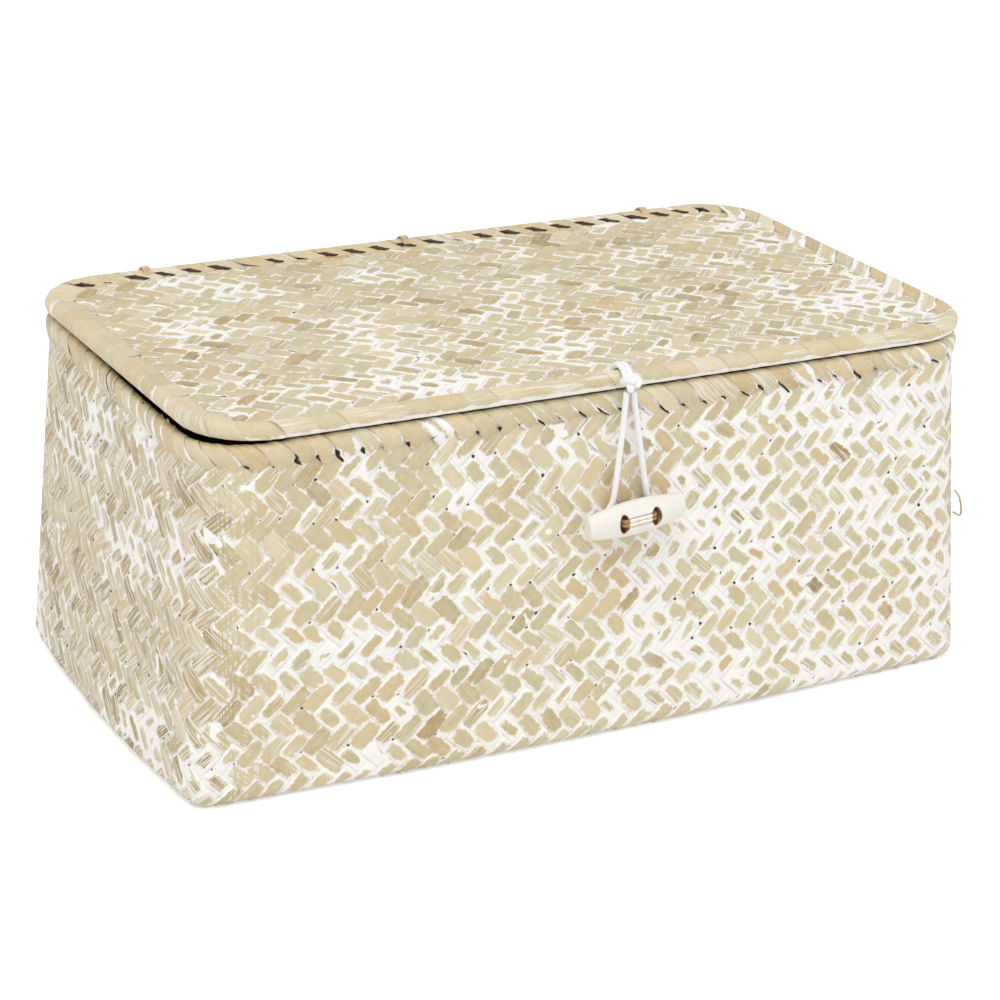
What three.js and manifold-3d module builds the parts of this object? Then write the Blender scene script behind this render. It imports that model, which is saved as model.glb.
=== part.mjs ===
// A woven lidded box: a twill-woven leaf basket with a woven lining and a wired rim, a lid of two
// woven mats held in a rolled edge, three thread lashings that hinge it, and an elastic cord loop
// on the lid that hooks behind a toggle sewn to the front wall.
// Millimetres, +Z up, +X along the box, front at -Y, origin at the middle of the underside.

import * as THREE from 'three';
import { mergeVertices } from 'three/addons/utils/BufferGeometryUtils.js';
import Module from 'manifold-3d';

const wasm = await Module();
wasm.setup();

// Shared by every piece
const clearance = 0.3; // gap between pieces that touch
const cutOverrun = 3; // how far a cutter runs past what it cuts

// Basket
const rimHeight = 145.7; // top of the rim above the ground
const baseSpread = 5.2; // each end of the floor stands this far out past the lid's end
const baseTuck = 6; // front and back of the floor lie this far in from the lid's
const baseCornerRadius = 9;
const foldRadius = 6; // the fold between floor and walls
const longWallBow = 5; // how far the middle of a long wall swells at the floor
const shortWallBow = 4;
const outerWeaveThickness = 2.4;
const liningThickness = 1.8;
const rimWireDiameter = 3;
const rimSkin = 0.8;
const rimBandHeight = 6.5;

// Lid
const lidLength = 340;
const lidWidth = 198;
const lidCornerRadius = 30;
const rollDiameter = 8;
const rollSkin = 0.9;
const lidWireDiameter = 3;
const topMatThickness = 2.2;
const bottomMatThickness = 1.8;
const lidOpenDegrees = 190; // the lid folds back past level until the lashings stop it

// Hinge lashings
const lashingCount = 3;
const lashingSpacingShare = 0.35; // of the lid's length
const lashingWidth = 7;
const lashingThickness = 1.8;

// Elastic cord, its knot on the lid's edge and its stopper knot beneath the lid
const knotX = 1.4;
const knotRise = 0.6; // the knot's middle lies this far above the lid's middle plane
const cordDiameter = 2.4;
const cordSides = 8;
const cordSteps = 46;
const knotDiameter = 6;
const knotWidth = 8.4;
const stopperDiameter = 5.4;
const stopperWidth = 6.6;
const stopperInset = 0.9; // the stopper knot sits this much further in than its cord

// Toggle and the thread that sews it on
const toggleX = 3.7;
const toggleHeight = 97.1; // height of the toggle's middle above the ground
const toggleTiltDegrees = 5;
const toggleLength = 42;
const toggleDiameter = 14;
const toggleDepth = 9.8;
const toggleEndDiameter = 9.6;
const toggleEdgeRound = 1;
const toggleHoleSpacing = 14.1;
const toggleHoleWidth = 4.2;
const toggleHoleHeight = 7.5;
const channelHeight = 4.4;
const channelDepth = 1.6;
const threadDiameter = 1.8;
const threadBend = 1.5;

// The free cord's route, from the knot down, behind the toggle and back up to the knot
const cordRoute = [
  [-0.2, -102.2, 147.0], [-0.4, -102.0, 141.0], [-0.9, -101.7, 132.0],
  [-1.5, -101.4, 123.0], [-2.1, -101.0, 114.0], [-2.6, -100.6, 106.5],
  [-3.2, -100.3, 102.2], [-4.6, -100.2, 99.4], [-5.8, -100.2, 96.8],
  [-5.3, -100.2, 94.2], [-3.6, -100.2, 92.4], [-0.9, -100.2, 91.6],
  [3.7, -100.2, 91.8], [8.2, -100.2, 92.2], [11.0, -100.2, 93.1],
  [12.8, -100.2, 95.2], [13.3, -100.2, 98.0], [12.7, -100.2, 100.8],
  [11.7, -100.4, 104.2], [10.3, -100.7, 110.0], [8.4, -101.1, 119.0],
  [6.6, -101.5, 128.0], [4.9, -101.8, 136.5], [3.8, -102.0, 142.0],
  [3.0, -102.2, 147.0]
];

// Facet counts
const cornerSteps = 6;
const longSideSteps = 6;
const shortSideSteps = 4;
const foldSteps = 3;
const wallSteps = 5;
const crownSteps = 6;
const rollSteps = 18;
const wireSides = 6;
const lashingSteps = 9;
const knotRings = 8;
const knotSides = 12;
const toggleSides = 24;
const toggleSteps = 6;
const threadSides = 8;
const tailSides = 5;

// Places that follow from the sizes
const rollRadius = rollDiameter / 2;
const rollZ = rimHeight + clearance + rollRadius; // the lid's middle plane and the hinge axis
const rollHalfLength = lidLength / 2 - rollRadius;
const rollHalfWidth = lidWidth / 2 - rollRadius;
const rollCorner = lidCornerRadius - rollRadius;
const wallStack = outerWeaveThickness + clearance + liningThickness;
const rimHalfWidth = wallStack / 2 + clearance + rimSkin;
const rimWireZ = rimHeight - rimSkin - clearance - rimWireDiameter / 2;
const wallTop = rimWireZ - rimWireDiameter / 2 - clearance;
const rimBandBottom = rimHeight - rimBandHeight;
const matStack = topMatThickness + clearance + bottomMatThickness;
const matEdgeInset = lidWireDiameter / 2 + clearance;
const lashingInner = Math.max(rollRadius, rimHalfWidth) + clearance;
const lashingOuter = lashingInner + lashingThickness;
const lashingLowZ = rimBandBottom - clearance + Math.sqrt(lashingInner ** 2 - rimHalfWidth ** 2);
const tailRadius = rollRadius + clearance + cordDiameter / 2;
const knotY = -(rollHalfWidth + rollRadius + clearance + knotDiameter / 2);
const knotHeight = rollZ + knotRise;
const tilt = THREE.MathUtils.degToRad(toggleTiltDegrees);

function material(color, roughness) {
  return new THREE.MeshStandardMaterial({ color, roughness, metalness: 0 });
}

const outerWeaveMaterial = material(0xd9cba6, 0.82);
const liningMaterial = material(0xcdbf98, 0.85);
const bindingMaterial = material(0xdccfa9, 0.7);
const wireMaterial = new THREE.MeshStandardMaterial({ color: 0x8a8a86, roughness: 0.45, metalness: 1 });
const threadMaterial = material(0xb59a6b, 0.85);
const cordMaterial = material(0xf4f3f0, 0.75);
const toggleMaterial = material(0xf0ead6, 0.4);

// The volume that a triangle mesh encloses, negative when its faces point in
function signedVolume(positions, index) {
  const corner = (i) => new THREE.Vector3().fromArray(positions, index[i] * 3);
  let volume = 0;
  for (let i = 0; i < index.length; i += 3) {
    volume += corner(i).dot(corner(i + 1).cross(corner(i + 2))) / 6;
  }
  return volume;
}

// A skin over rows of points, each row a closed loop of the same count. A tube that closes on
// itself joins its last row to its first, and any other gets a flat cap on both ends. Each square
// splits from its low corner on one side to its high corner on the other, whichever row comes
// first, so that two skins a small gap apart have matching facets.
function skin(rows, closed) {
  const count = rows[0].length;
  const positions = rows.flat().flatMap((point) => point.toArray());
  const index = [];
  const last = closed ? rows.length : rows.length - 1;
  for (let row = 0; row < last; row++) {
    const next = (row + 1) % rows.length;
    for (let i = 0; i < count; i++) {
      const j = (i + 1) % count;
      const quad = [row * count + i, row * count + j, next * count + j, next * count + i];
      if (rows[next][i].z < rows[row][i].z) quad.unshift(quad.pop());
      index.push(quad[0], quad[1], quad[2], quad[0], quad[2], quad[3]);
    }
  }
  if (!closed) {
    for (const [row, flip] of [[0, true], [rows.length - 1, false]]) {
      const middle = rows[row].reduce((sum, point) => sum.add(point), new THREE.Vector3());
      middle.divideScalar(count);
      const hub = positions.length / 3;
      positions.push(...middle.toArray());
      for (let i = 0; i < count; i++) {
        const a = row * count + i;
        const b = row * count + (i + 1) % count;
        index.push(...(flip ? [hub, b, a] : [hub, a, b]));
      }
    }
  }
  if (signedVolume(positions, index) < 0) index.reverse();
  const geometry = new THREE.BufferGeometry();
  geometry.setAttribute('position', new THREE.Float32BufferAttribute(positions, 3));
  geometry.setIndex(index);
  return geometry;
}

function solid(geometry) {
  const bare = geometry.clone();
  bare.deleteAttribute('normal');
  bare.deleteAttribute('uv');
  const merged = mergeVertices(bare);
  return new wasm.Manifold(new wasm.Mesh({
    numProp: 3,
    vertProperties: new Float32Array(merged.attributes.position.array),
    triVerts: new Uint32Array(merged.index.array)
  }));
}

function surface(manifold) {
  const mesh = manifold.getMesh();
  const geometry = new THREE.BufferGeometry();
  geometry.setAttribute('position', new THREE.Float32BufferAttribute(mesh.vertProperties, 3));
  geometry.setIndex(Array.from(mesh.triVerts));
  geometry.computeVertexNormals();
  return geometry;
}

function cut(geometry, cutters) {
  const rest = cutters.reduce((body, cutter) => body.subtract(solid(cutter)), solid(geometry));
  return surface(rest);
}

// A block between two opposite corners
function block(low, high) {
  const size = high.map((value, i) => value - low[i]);
  const geometry = new THREE.BoxGeometry(...size);
  return geometry.translate(...low.map((value, i) => value + size[i] / 2));
}

// A rectangle with round corners and sides that swell outwards, as points and outward normals
function outline(halfLength, halfWidth, radius, bowLong = 0, bowShort = 0) {
  const points = [];
  const sides = [
    { turn: 0, steps: shortSideSteps, bow: bowShort, span: halfWidth },
    { turn: 1, steps: longSideSteps, bow: bowLong, span: halfLength },
    { turn: 2, steps: shortSideSteps, bow: bowShort, span: halfWidth },
    { turn: 3, steps: longSideSteps, bow: bowLong, span: halfLength }
  ];
  for (const { turn, steps, bow, span } of sides) {
    const facing = turn * Math.PI / 2;
    const reach = turn % 2 ? halfWidth : halfLength;
    const out = new THREE.Vector2(Math.cos(facing), Math.sin(facing));
    const along = new THREE.Vector2(-Math.sin(facing), Math.cos(facing));
    for (let i = 1; i < steps; i++) {
      const share = 2 * i / steps - 1;
      const point = out.clone().multiplyScalar(reach + bow * (1 - share * share));
      point.addScaledVector(along, share * (span - radius));
      points.push({ point, normal: out.clone() });
    }
    const centre = out.clone().multiplyScalar(reach - radius).addScaledVector(along, span - radius);
    for (let i = 0; i <= cornerSteps; i++) {
      const angle = facing + i / cornerSteps * Math.PI / 2;
      const normal = new THREE.Vector2(Math.cos(angle), Math.sin(angle));
      points.push({ point: centre.clone().addScaledVector(normal, radius), normal });
    }
  }
  return points;
}

// A section of [outward, upward] points carried all the way round an outline
function ringAround(line, section) {
  const rows = line.map(({ point, normal }) => section.map(([out, up]) => (
    new THREE.Vector3(point.x + normal.x * out, point.y + normal.y * out, up)
  )));
  return skin(rows, true);
}

function circle(radius, sides) {
  return Array.from({ length: sides }, (_, i) => {
    const angle = (i + 0.5) / sides * Math.PI * 2;
    return [radius * Math.cos(angle), radius * Math.sin(angle)];
  });
}

function arc(radius, from, to, steps) {
  return Array.from({ length: steps + 1 }, (_, i) => {
    const angle = from + (to - from) * i / steps;
    return [radius * Math.cos(angle), radius * Math.sin(angle)];
  });
}

// The line along the middle of the lid's roll, which the basket's rim follows too
function rollLine(inset = 0) {
  return outline(rollHalfLength - inset, rollHalfWidth - inset, rollCorner - inset);
}

// How the basket's outer face lies at a height: at the rim it follows the roll, and towards the
// floor it spreads along the box, its corners tighten and its walls swell
function wallAt(height) {
  const rise = Math.min(Math.max(height / wallTop, 0), 1);
  const mix = (base, rim) => base + (rim - base) * rise;
  const swell = 1 - rise * rise;
  return {
    halfLength: mix(lidLength / 2 + baseSpread, rollHalfLength + wallStack / 2),
    halfWidth: mix(lidWidth / 2 - baseTuck, rollHalfWidth + wallStack / 2),
    radius: mix(baseCornerRadius, rollCorner + wallStack / 2),
    bowLong: longWallBow * swell,
    bowShort: shortWallBow * swell * (1 + rise * rise)
  };
}

function wallRow(height, inset) {
  const wall = wallAt(height);
  const line = outline(wall.halfLength - inset, wall.halfWidth - inset, wall.radius - inset,
    wall.bowLong, wall.bowShort);
  return line.map(({ point }) => new THREE.Vector3(point.x, point.y, height));
}

// Rows of one face of the basket from its floor up, a given depth in from the outer face
function faceRows(depth) {
  const bend = foldRadius - depth;
  const rows = [];
  for (let i = 0; i <= foldSteps; i++) {
    const angle = i / foldSteps * Math.PI / 2;
    rows.push(wallRow(foldRadius - bend * Math.cos(angle), foldRadius - bend * Math.sin(angle)));
  }
  for (let i = 1; i <= wallSteps; i++) {
    rows.push(wallRow(foldRadius + (wallTop - foldRadius) * i / wallSteps, depth));
  }
  return rows;
}

function basketShell(outerDepth, innerDepth) {
  return skin([...faceRows(outerDepth), ...faceRows(innerDepth).reverse()], false);
}

function lashingPlaces() {
  const spacing = lidLength * lashingSpacingShare;
  return Array.from({ length: lashingCount }, (_, i) => (i - (lashingCount - 1) / 2) * spacing);
}

// Slots through the back wall, just beneath the rim, where the lashings pass
function lashingSlots() {
  const half = lashingWidth / 2 + clearance;
  return lashingPlaces().map((x) => block(
    [x - half, rollHalfWidth - lashingOuter, lashingLowZ - lashingOuter - clearance],
    [x + half, rollHalfWidth + lashingOuter, rimBandBottom]
  ));
}

// The two places where the toggle's thread goes through, as [x, height]
function threadPlaces() {
  return [-1, 1].map((side) => [
    toggleX + side * Math.cos(tilt) * toggleHoleSpacing / 2,
    toggleHeight + side * Math.sin(tilt) * toggleHoleSpacing / 2
  ]);
}

function frontFace(height) {
  const wall = wallAt(height);
  return wall.halfWidth + wall.bowLong;
}

function threadHoles() {
  const half = threadDiameter / 2 + clearance;
  const face = frontFace(toggleHeight);
  return threadPlaces().map(([x, z]) => {
    const bore = new THREE.CylinderGeometry(half, half, wallStack + 2 * cutOverrun, threadSides);
    return bore.translate(x, wallStack / 2 - face, z);
  });
}

function outerBasket() {
  return cut(basketShell(0, outerWeaveThickness), [...lashingSlots(), ...threadHoles()]);
}

function innerLining() {
  return cut(basketShell(outerWeaveThickness + clearance, wallStack), [...lashingSlots(), ...threadHoles()]);
}

function rimWire() {
  const section = circle(rimWireDiameter / 2, wireSides).map(([out, up]) => [out, up + rimWireZ]);
  return ringAround(rollLine(), section);
}

// The part of the space round the basket that belongs to one side, as a block whose ends run
// slantwise through the middles of the round corners, half a clearance short of the next side's
function sideRegion(turn) {
  const facing = turn * Math.PI / 2;
  const [reach, span] = turn % 2 ? [rollHalfWidth, rollHalfLength] : [rollHalfLength, rollHalfWidth];
  const near = reach - rollCorner;
  const far = near + lidCornerRadius + cutOverrun;
  const half = span - rollCorner - clearance / Math.SQRT2;
  const shape = new THREE.Shape([
    new THREE.Vector2(near, -half),
    new THREE.Vector2(far, near - far - half),
    new THREE.Vector2(far, far - near + half),
    new THREE.Vector2(near, half)
  ]);
  const depth = rimBandHeight + 2 * cutOverrun;
  const region = new THREE.ExtrudeGeometry(shape, { depth, bevelEnabled: false });
  return region.translate(0, 0, rimBandBottom - cutOverrun).rotateZ(facing);
}

// The folded leaf band over the rim: an upside-down U, open beneath, in one length for each side
function rimBinding(turn) {
  const inner = rimHalfWidth - rimSkin;
  const crownZ = rimHeight - rimHalfWidth;
  const over = arc(rimHalfWidth, 0, Math.PI, crownSteps).map(([out, up]) => [out, crownZ + up]);
  const under = arc(inner, Math.PI, 0, crownSteps).map(([out, up]) => [out, crownZ + up]);
  const section = [
    [rimHalfWidth, rimBandBottom], ...over, [-rimHalfWidth, rimBandBottom],
    [-inner, rimBandBottom], ...under, [inner, rimBandBottom]
  ];
  const ring = solid(ringAround(rollLine(), section));
  return surface(ring.intersect(solid(sideRegion(turn))));
}

// The rolled edge: a tube round the lid, slit all along its inner side, where the mats go in
function lidBinding() {
  const inner = rollRadius - rollSkin;
  const slit = matStack / 2 + clearance;
  const outerSlit = Math.PI - Math.asin(slit / rollRadius);
  const innerSlit = Math.PI - Math.asin(slit / inner);
  const section = [
    ...arc(rollRadius, -outerSlit, outerSlit, rollSteps),
    ...arc(inner, innerSlit, -innerSlit, rollSteps)
  ].map(([out, up]) => [out, up + rollZ]);
  return ringAround(rollLine(), section);
}

function lidWire() {
  const section = circle(lidWireDiameter / 2, wireSides).map(([out, up]) => [out, up + rollZ]);
  return ringAround(rollLine(), section);
}

// Notches in the mats' back edge that clear the lashings from shut to wide open
function matNotches() {
  const past = Math.max(THREE.MathUtils.degToRad(lidOpenDegrees) - Math.PI, 0);
  const reach = (lashingOuter + matStack / 2 * Math.sin(past)) / Math.cos(past) + clearance;
  const half = lashingWidth / 2 + clearance;
  return lashingPlaces().map((x) => block(
    [x - half, rollHalfWidth - reach, rollZ - matStack],
    [x + half, rollHalfWidth + cutOverrun, rollZ + matStack]
  ));
}

// The slot behind the front roll where the two cord tails go up through the mats and start to
// bend over the roll
function cordSlot() {
  const inner = Math.sqrt((tailRadius - cordDiameter / 2) ** 2 - (matStack / 2) ** 2) - clearance;
  const outer = tailRadius + cordDiameter / 2 + clearance;
  const half = cordDiameter + clearance;
  return block(
    [knotX - half, inner - rollHalfWidth, rollZ - matStack],
    [knotX + half, outer - rollHalfWidth, rollZ + matStack]
  );
}

function mat(bottom, thickness) {
  const line = rollLine(matEdgeInset).map(({ point }) => point);
  const plate = new THREE.ExtrudeGeometry(new THREE.Shape(line), { depth: thickness, bevelEnabled: false });
  return cut(plate.translate(0, 0, bottom), [...matNotches(), cordSlot()]);
}

function lidTopMat() {
  return mat(rollZ + matStack / 2 - topMatThickness, topMatThickness);
}

function lidBottomMat() {
  return mat(rollZ - matStack / 2, bottomMatThickness);
}

// A band of thread turns round the lid's roll and the basket's rim, seen along the box as a stadium
function lashing(x) {
  const stadium = (radius) => [
    ...arc(radius, 0, Math.PI, lashingSteps).map(([y, z]) => new THREE.Vector2(y, z + rollZ)),
    ...arc(radius, Math.PI, Math.PI * 2, lashingSteps).map(([y, z]) => new THREE.Vector2(y, z + lashingLowZ))
  ];
  const shape = new THREE.Shape(stadium(lashingOuter));
  shape.holes.push(new THREE.Path(stadium(lashingInner)));
  const band = new THREE.ExtrudeGeometry(shape, { depth: lashingWidth, bevelEnabled: false });
  band.rotateX(Math.PI / 2).rotateZ(Math.PI / 2);
  return band.translate(x - lashingWidth / 2, rollHalfWidth, 0);
}

function closureLoop() {
  const curve = new THREE.CatmullRomCurve3(cordRoute.map((place) => new THREE.Vector3(...place)));
  const section = circle(cordDiameter / 2, cordSides).map((pair) => new THREE.Vector2(...pair));
  return new THREE.ExtrudeGeometry(new THREE.Shape(section), {
    steps: cordSteps,
    bevelEnabled: false,
    extrudePath: curve
  });
}

// The two tails side by side, from the stopper knot up through the mats and over the roll
function loopTails() {
  const half = cordDiameter / 2;
  const section = [
    ...arc(half, -Math.PI / 2, Math.PI / 2, tailSides).map(([x, up]) => [x + half, up]),
    ...arc(half, Math.PI / 2, Math.PI * 1.5, tailSides).map(([x, up]) => [x - half, up])
  ];
  const reach = knotDiameter / 2 + clearance;
  const run = -rollHalfWidth - knotY;
  const apart = Math.hypot(run, knotRise);
  const meet = (apart ** 2 + (tailRadius + half) ** 2 - reach ** 2) / (2 * apart * (tailRadius + half));
  const turn = Math.PI - Math.atan2(knotRise, run) - Math.acos(Math.min(meet, 1));
  const stations = [{ angle: 0, below: matStack / 2 + clearance }];
  for (let i = 0; i <= lashingSteps; i++) stations.push({ angle: turn * i / lashingSteps, below: 0 });
  const rows = stations.map(({ angle, below }) => section.map(([x, up]) => new THREE.Vector3(
    knotX + x,
    (tailRadius + up) * Math.cos(angle) - rollHalfWidth,
    (tailRadius + up) * Math.sin(angle) + rollZ - below
  )));
  return skin(rows, false);
}

// A knot as a rounded bead with its long way along the box
function bead(diameter, width) {
  const profile = arc(1, -Math.PI / 2, Math.PI / 2, knotRings).map(([out, along]) => (
    new THREE.Vector2(Math.abs(out) * diameter / 2, along * width / 2)
  ));
  profile[0].x = 0;
  profile[knotRings].x = 0;
  return new THREE.LatheGeometry(profile, knotSides).rotateZ(-Math.PI / 2);
}

function loopKnot() {
  return bead(knotDiameter, knotWidth).translate(knotX, knotY, knotHeight);
}

function stopperKnot() {
  const y = tailRadius - rollHalfWidth + stopperInset;
  const top = rollZ - matStack / 2 - 2 * clearance;
  return bead(stopperDiameter, stopperWidth).translate(knotX, y, top - stopperDiameter / 2);
}

// The toggle's back stands off the wall by the cord that hooks behind it
function toggleY() {
  return -(frontFace(toggleHeight) + 2 * clearance + cordDiameter + toggleDepth / 2);
}

function placeOnToggle(geometry) {
  return geometry.rotateY(-tilt).translate(toggleX, toggleY(), toggleHeight);
}

// A barrel with flat ends, deeper up and down than front to back, with two oval holes and a
// shallow channel between them for the thread
function toggle() {
  const half = toggleLength / 2;
  const end = toggleEndDiameter / 2;
  const profile = [[0, -half], [end - toggleEdgeRound, -half]];
  for (let i = 0; i <= toggleSteps; i++) {
    const share = 2 * i / toggleSteps - 1;
    const swell = (toggleDiameter / 2 - end) * (1 - share * share);
    profile.push([end + swell, share * (half - toggleEdgeRound)]);
  }
  profile.push([end - toggleEdgeRound, half], [0, half]);
  const barrel = new THREE.LatheGeometry(profile.map((pair) => new THREE.Vector2(...pair)), toggleSides);
  barrel.rotateZ(-Math.PI / 2).scale(1, toggleDepth / toggleDiameter, 1);
  const holes = [-1, 1].map((side) => {
    const hole = new THREE.CylinderGeometry(1, 1, toggleDepth + 2 * cutOverrun, knotSides);
    hole.scale(toggleHoleWidth / 2, 1, toggleHoleHeight / 2);
    return hole.translate(side * toggleHoleSpacing / 2, 0, 0);
  });
  const channel = block(
    [-toggleHoleSpacing / 2, -toggleDepth / 2 - cutOverrun, -channelHeight / 2],
    [toggleHoleSpacing / 2, channelDepth - toggleDepth / 2, channelHeight / 2]
  );
  return placeOnToggle(cut(barrel, [...holes, channel]));
}

// One closed turn of thread: in the channel, back through both holes and the walls, and across
// the inside of the lining
function toggleThread() {
  const radius = threadDiameter / 2;
  const front = channelDepth - toggleDepth / 2 - clearance - radius;
  const back = -frontFace(toggleHeight) + wallStack + clearance + radius - toggleY();
  const section = circle(radius, threadSides);
  const line = outline(toggleHoleSpacing / 2, (back - front) / 2, threadBend);
  return placeOnToggle(ringAround(line, section).translate(0, (front + back) / 2, 0));
}

const part = new THREE.Group();

function addPiece(name, geometry, finish) {
  const mesh = new THREE.Mesh(geometry, finish);
  mesh.name = name;
  part.add(mesh);
}

addPiece('outer_basket', outerBasket(), outerWeaveMaterial);
addPiece('inner_lining', innerLining(), liningMaterial);
addPiece('rim_wire', rimWire(), wireMaterial);
['right', 'back', 'left', 'front'].forEach((side, turn) => {
  addPiece(`rim_binding_${side}`, rimBinding(turn), bindingMaterial);
});
addPiece('lid_top_mat', lidTopMat(), outerWeaveMaterial);
addPiece('lid_bottom_mat', lidBottomMat(), liningMaterial);
addPiece('lid_wire', lidWire(), wireMaterial);
addPiece('lid_binding', lidBinding(), bindingMaterial);
lashingPlaces().forEach((x, i) => addPiece(`hinge_lashing_${i + 1}`, lashing(x), threadMaterial));
addPiece('closure_loop', closureLoop(), cordMaterial);
addPiece('loop_knot', loopKnot(), cordMaterial);
addPiece('loop_tails', loopTails(), cordMaterial);
addPiece('stopper_knot', stopperKnot(), cordMaterial);
addPiece('toggle', toggle(), toggleMaterial);
addPiece('toggle_thread', toggleThread(), threadMaterial);

export default part;
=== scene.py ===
import math

import bpy
import numpy as np
from mathutils import Matrix, Vector


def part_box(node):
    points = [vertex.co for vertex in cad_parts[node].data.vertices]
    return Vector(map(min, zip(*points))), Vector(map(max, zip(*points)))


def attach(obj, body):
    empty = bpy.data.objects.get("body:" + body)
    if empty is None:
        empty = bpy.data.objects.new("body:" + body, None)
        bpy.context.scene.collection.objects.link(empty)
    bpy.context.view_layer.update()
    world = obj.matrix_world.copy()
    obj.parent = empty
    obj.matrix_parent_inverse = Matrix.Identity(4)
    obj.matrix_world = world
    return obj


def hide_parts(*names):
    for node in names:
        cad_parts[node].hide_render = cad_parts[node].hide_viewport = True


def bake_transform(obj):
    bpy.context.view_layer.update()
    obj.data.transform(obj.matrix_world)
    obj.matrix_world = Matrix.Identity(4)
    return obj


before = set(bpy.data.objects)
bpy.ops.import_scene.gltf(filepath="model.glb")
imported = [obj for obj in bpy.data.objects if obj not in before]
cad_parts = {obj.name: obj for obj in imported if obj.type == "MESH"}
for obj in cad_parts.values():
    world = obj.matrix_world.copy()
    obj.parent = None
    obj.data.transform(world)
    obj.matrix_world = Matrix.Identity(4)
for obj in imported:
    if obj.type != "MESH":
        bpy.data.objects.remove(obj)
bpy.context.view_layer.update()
random = np.random.default_rng(11)

# Camera, fitted to the traced edges of lid and base; offsets are in pixels of the photograph
FRAME_PIXELS = 1000
FOCAL_PIXELS = 2960
CENTRE_RIGHT_PIXELS = -2.0
CENTRE_DOWN_PIXELS = -3.8
SENSOR_WIDTH_MM = 36
CAMERA_TARGET = Vector((0, 0, 0.068))
CAMERA_DISTANCE = 1.2342
CAMERA_AZIMUTH_DEGREES = -27.876
CAMERA_ELEVATION_DEGREES = 21.327
CAMERA_ROLL_DEGREES = 1.546

# Shape of the basket and lid, in metres, as in the CAD source
CLEARANCE = 0.0003
LID_CORNER = 0.030
BASE_SPREAD = 0.0052
BASE_TUCK = 0.006
BASE_CORNER = 0.009
FOLD_RADIUS = 0.006
LONG_BOW = 0.005
SHORT_BOW = 0.004
OUTER_THICKNESS = 0.0024
LINING_THICKNESS = 0.0018

# Weave: the strips cross at a slant, and this is how far apart they lie along and up the wall
OUTER_PITCH = 0.0092
LINING_PITCH = 0.0112
RISE_SHARE = 1.0
STRIP_SAMPLES = 3
PERIOD = 4
FIRST_FLOAT = 1.5
FLOOR_TUCK = 0.0015
RIM_OVERLAP = 0.0014
DRIFT = 0.0006
STRIP_WIDTH_SHARE = 1.16
FOLD_DEPTH = 0.00025

# Ribbons over the rim and round the lid's edge, and the threads. Near its front left corner the rim sags
# and the left wall stands out a little, which leaves a dark gap under the lid.
RIBBON = 0.0007
ROLL_PITCH = 0.0125
RIM_SAG = 0.0028
RIM_BULGE = 0.0015
SAG_START_SHARE = 0.41
SAG_MIDDLE_SHARE = 0.555
SAG_END_SHARE = 0.622
BULGE_FROM = 0.085
WIRE_RADIUS = 0.0015
LASHING_RADIUS = 0.0004
MAT_CROWN = 0.0008
ROLL_GAP = 0.0004
SAG_FADE = 0.006
END_DIP = 0.0012
NOTCH_DIP = 0.0004
STRAY_RADIUS = 0.0004
THREAD_RADIUS = 0.00075
STRAND_RADIUS = 0.0008
THREAD_BEND = 0.0015
KNOT_CORD = 0.0012
KNOT_REACH = np.array([0.0032, 0.0019, 0.0027])
STRAY_ROUTE = [(0.1655, -0.0920, 0.0775), (0.1690, -0.0908, 0.0735), (0.1722, -0.0885, 0.0665),
               (0.1712, -0.0888, 0.0645), (0.1655, -0.0920, 0.0680)]

# The free cord's route, from the knot down, behind the toggle and back up to the knot
CORD_ROUTE = [
    (-0.0002, -0.1022, 0.1470), (-0.0004, -0.1020, 0.1410), (-0.0009, -0.1017, 0.1320),
    (-0.0015, -0.1014, 0.1230), (-0.0021, -0.1010, 0.1140), (-0.0026, -0.1006, 0.1065),
    (-0.0032, -0.1003, 0.1022), (-0.0046, -0.1002, 0.0994), (-0.0058, -0.1002, 0.0968),
    (-0.0053, -0.1002, 0.0942), (-0.0036, -0.1002, 0.0924), (-0.0009, -0.1002, 0.0916),
    (0.0037, -0.1002, 0.0918), (0.0082, -0.1002, 0.0922), (0.0110, -0.1002, 0.0931),
    (0.0128, -0.1002, 0.0952), (0.0133, -0.1002, 0.0980), (0.0127, -0.1002, 0.1008),
    (0.0117, -0.1004, 0.1042), (0.0103, -0.1007, 0.1100), (0.0084, -0.1011, 0.1190),
    (0.0066, -0.1015, 0.1280), (0.0049, -0.1018, 0.1365), (0.0038, -0.1020, 0.1420),
    (0.0030, -0.1022, 0.1470),
]
CORD_DIAMETER = 0.0024

# Toggle
TOGGLE_LENGTH = 0.042
TOGGLE_HEIGHT = 0.014
TOGGLE_DEPTH = 0.0098
TOGGLE_END = 0.0096
TOGGLE_TILT_DEGREES = 5
TOGGLE_EDGE = 0.001
HOLE_SPACING = 0.0141
HOLE_WIDTH = 0.0042
HOLE_HEIGHT = 0.0075
CHANNEL_HEIGHT = 0.0044
CHANNEL_DEPTH = 0.0016
CHANNEL_FLOOR = CHANNEL_DEPTH - TOGGLE_DEPTH / 2


def box_of(name):
    low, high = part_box(name)
    return np.array(low), np.array(high)


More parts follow.
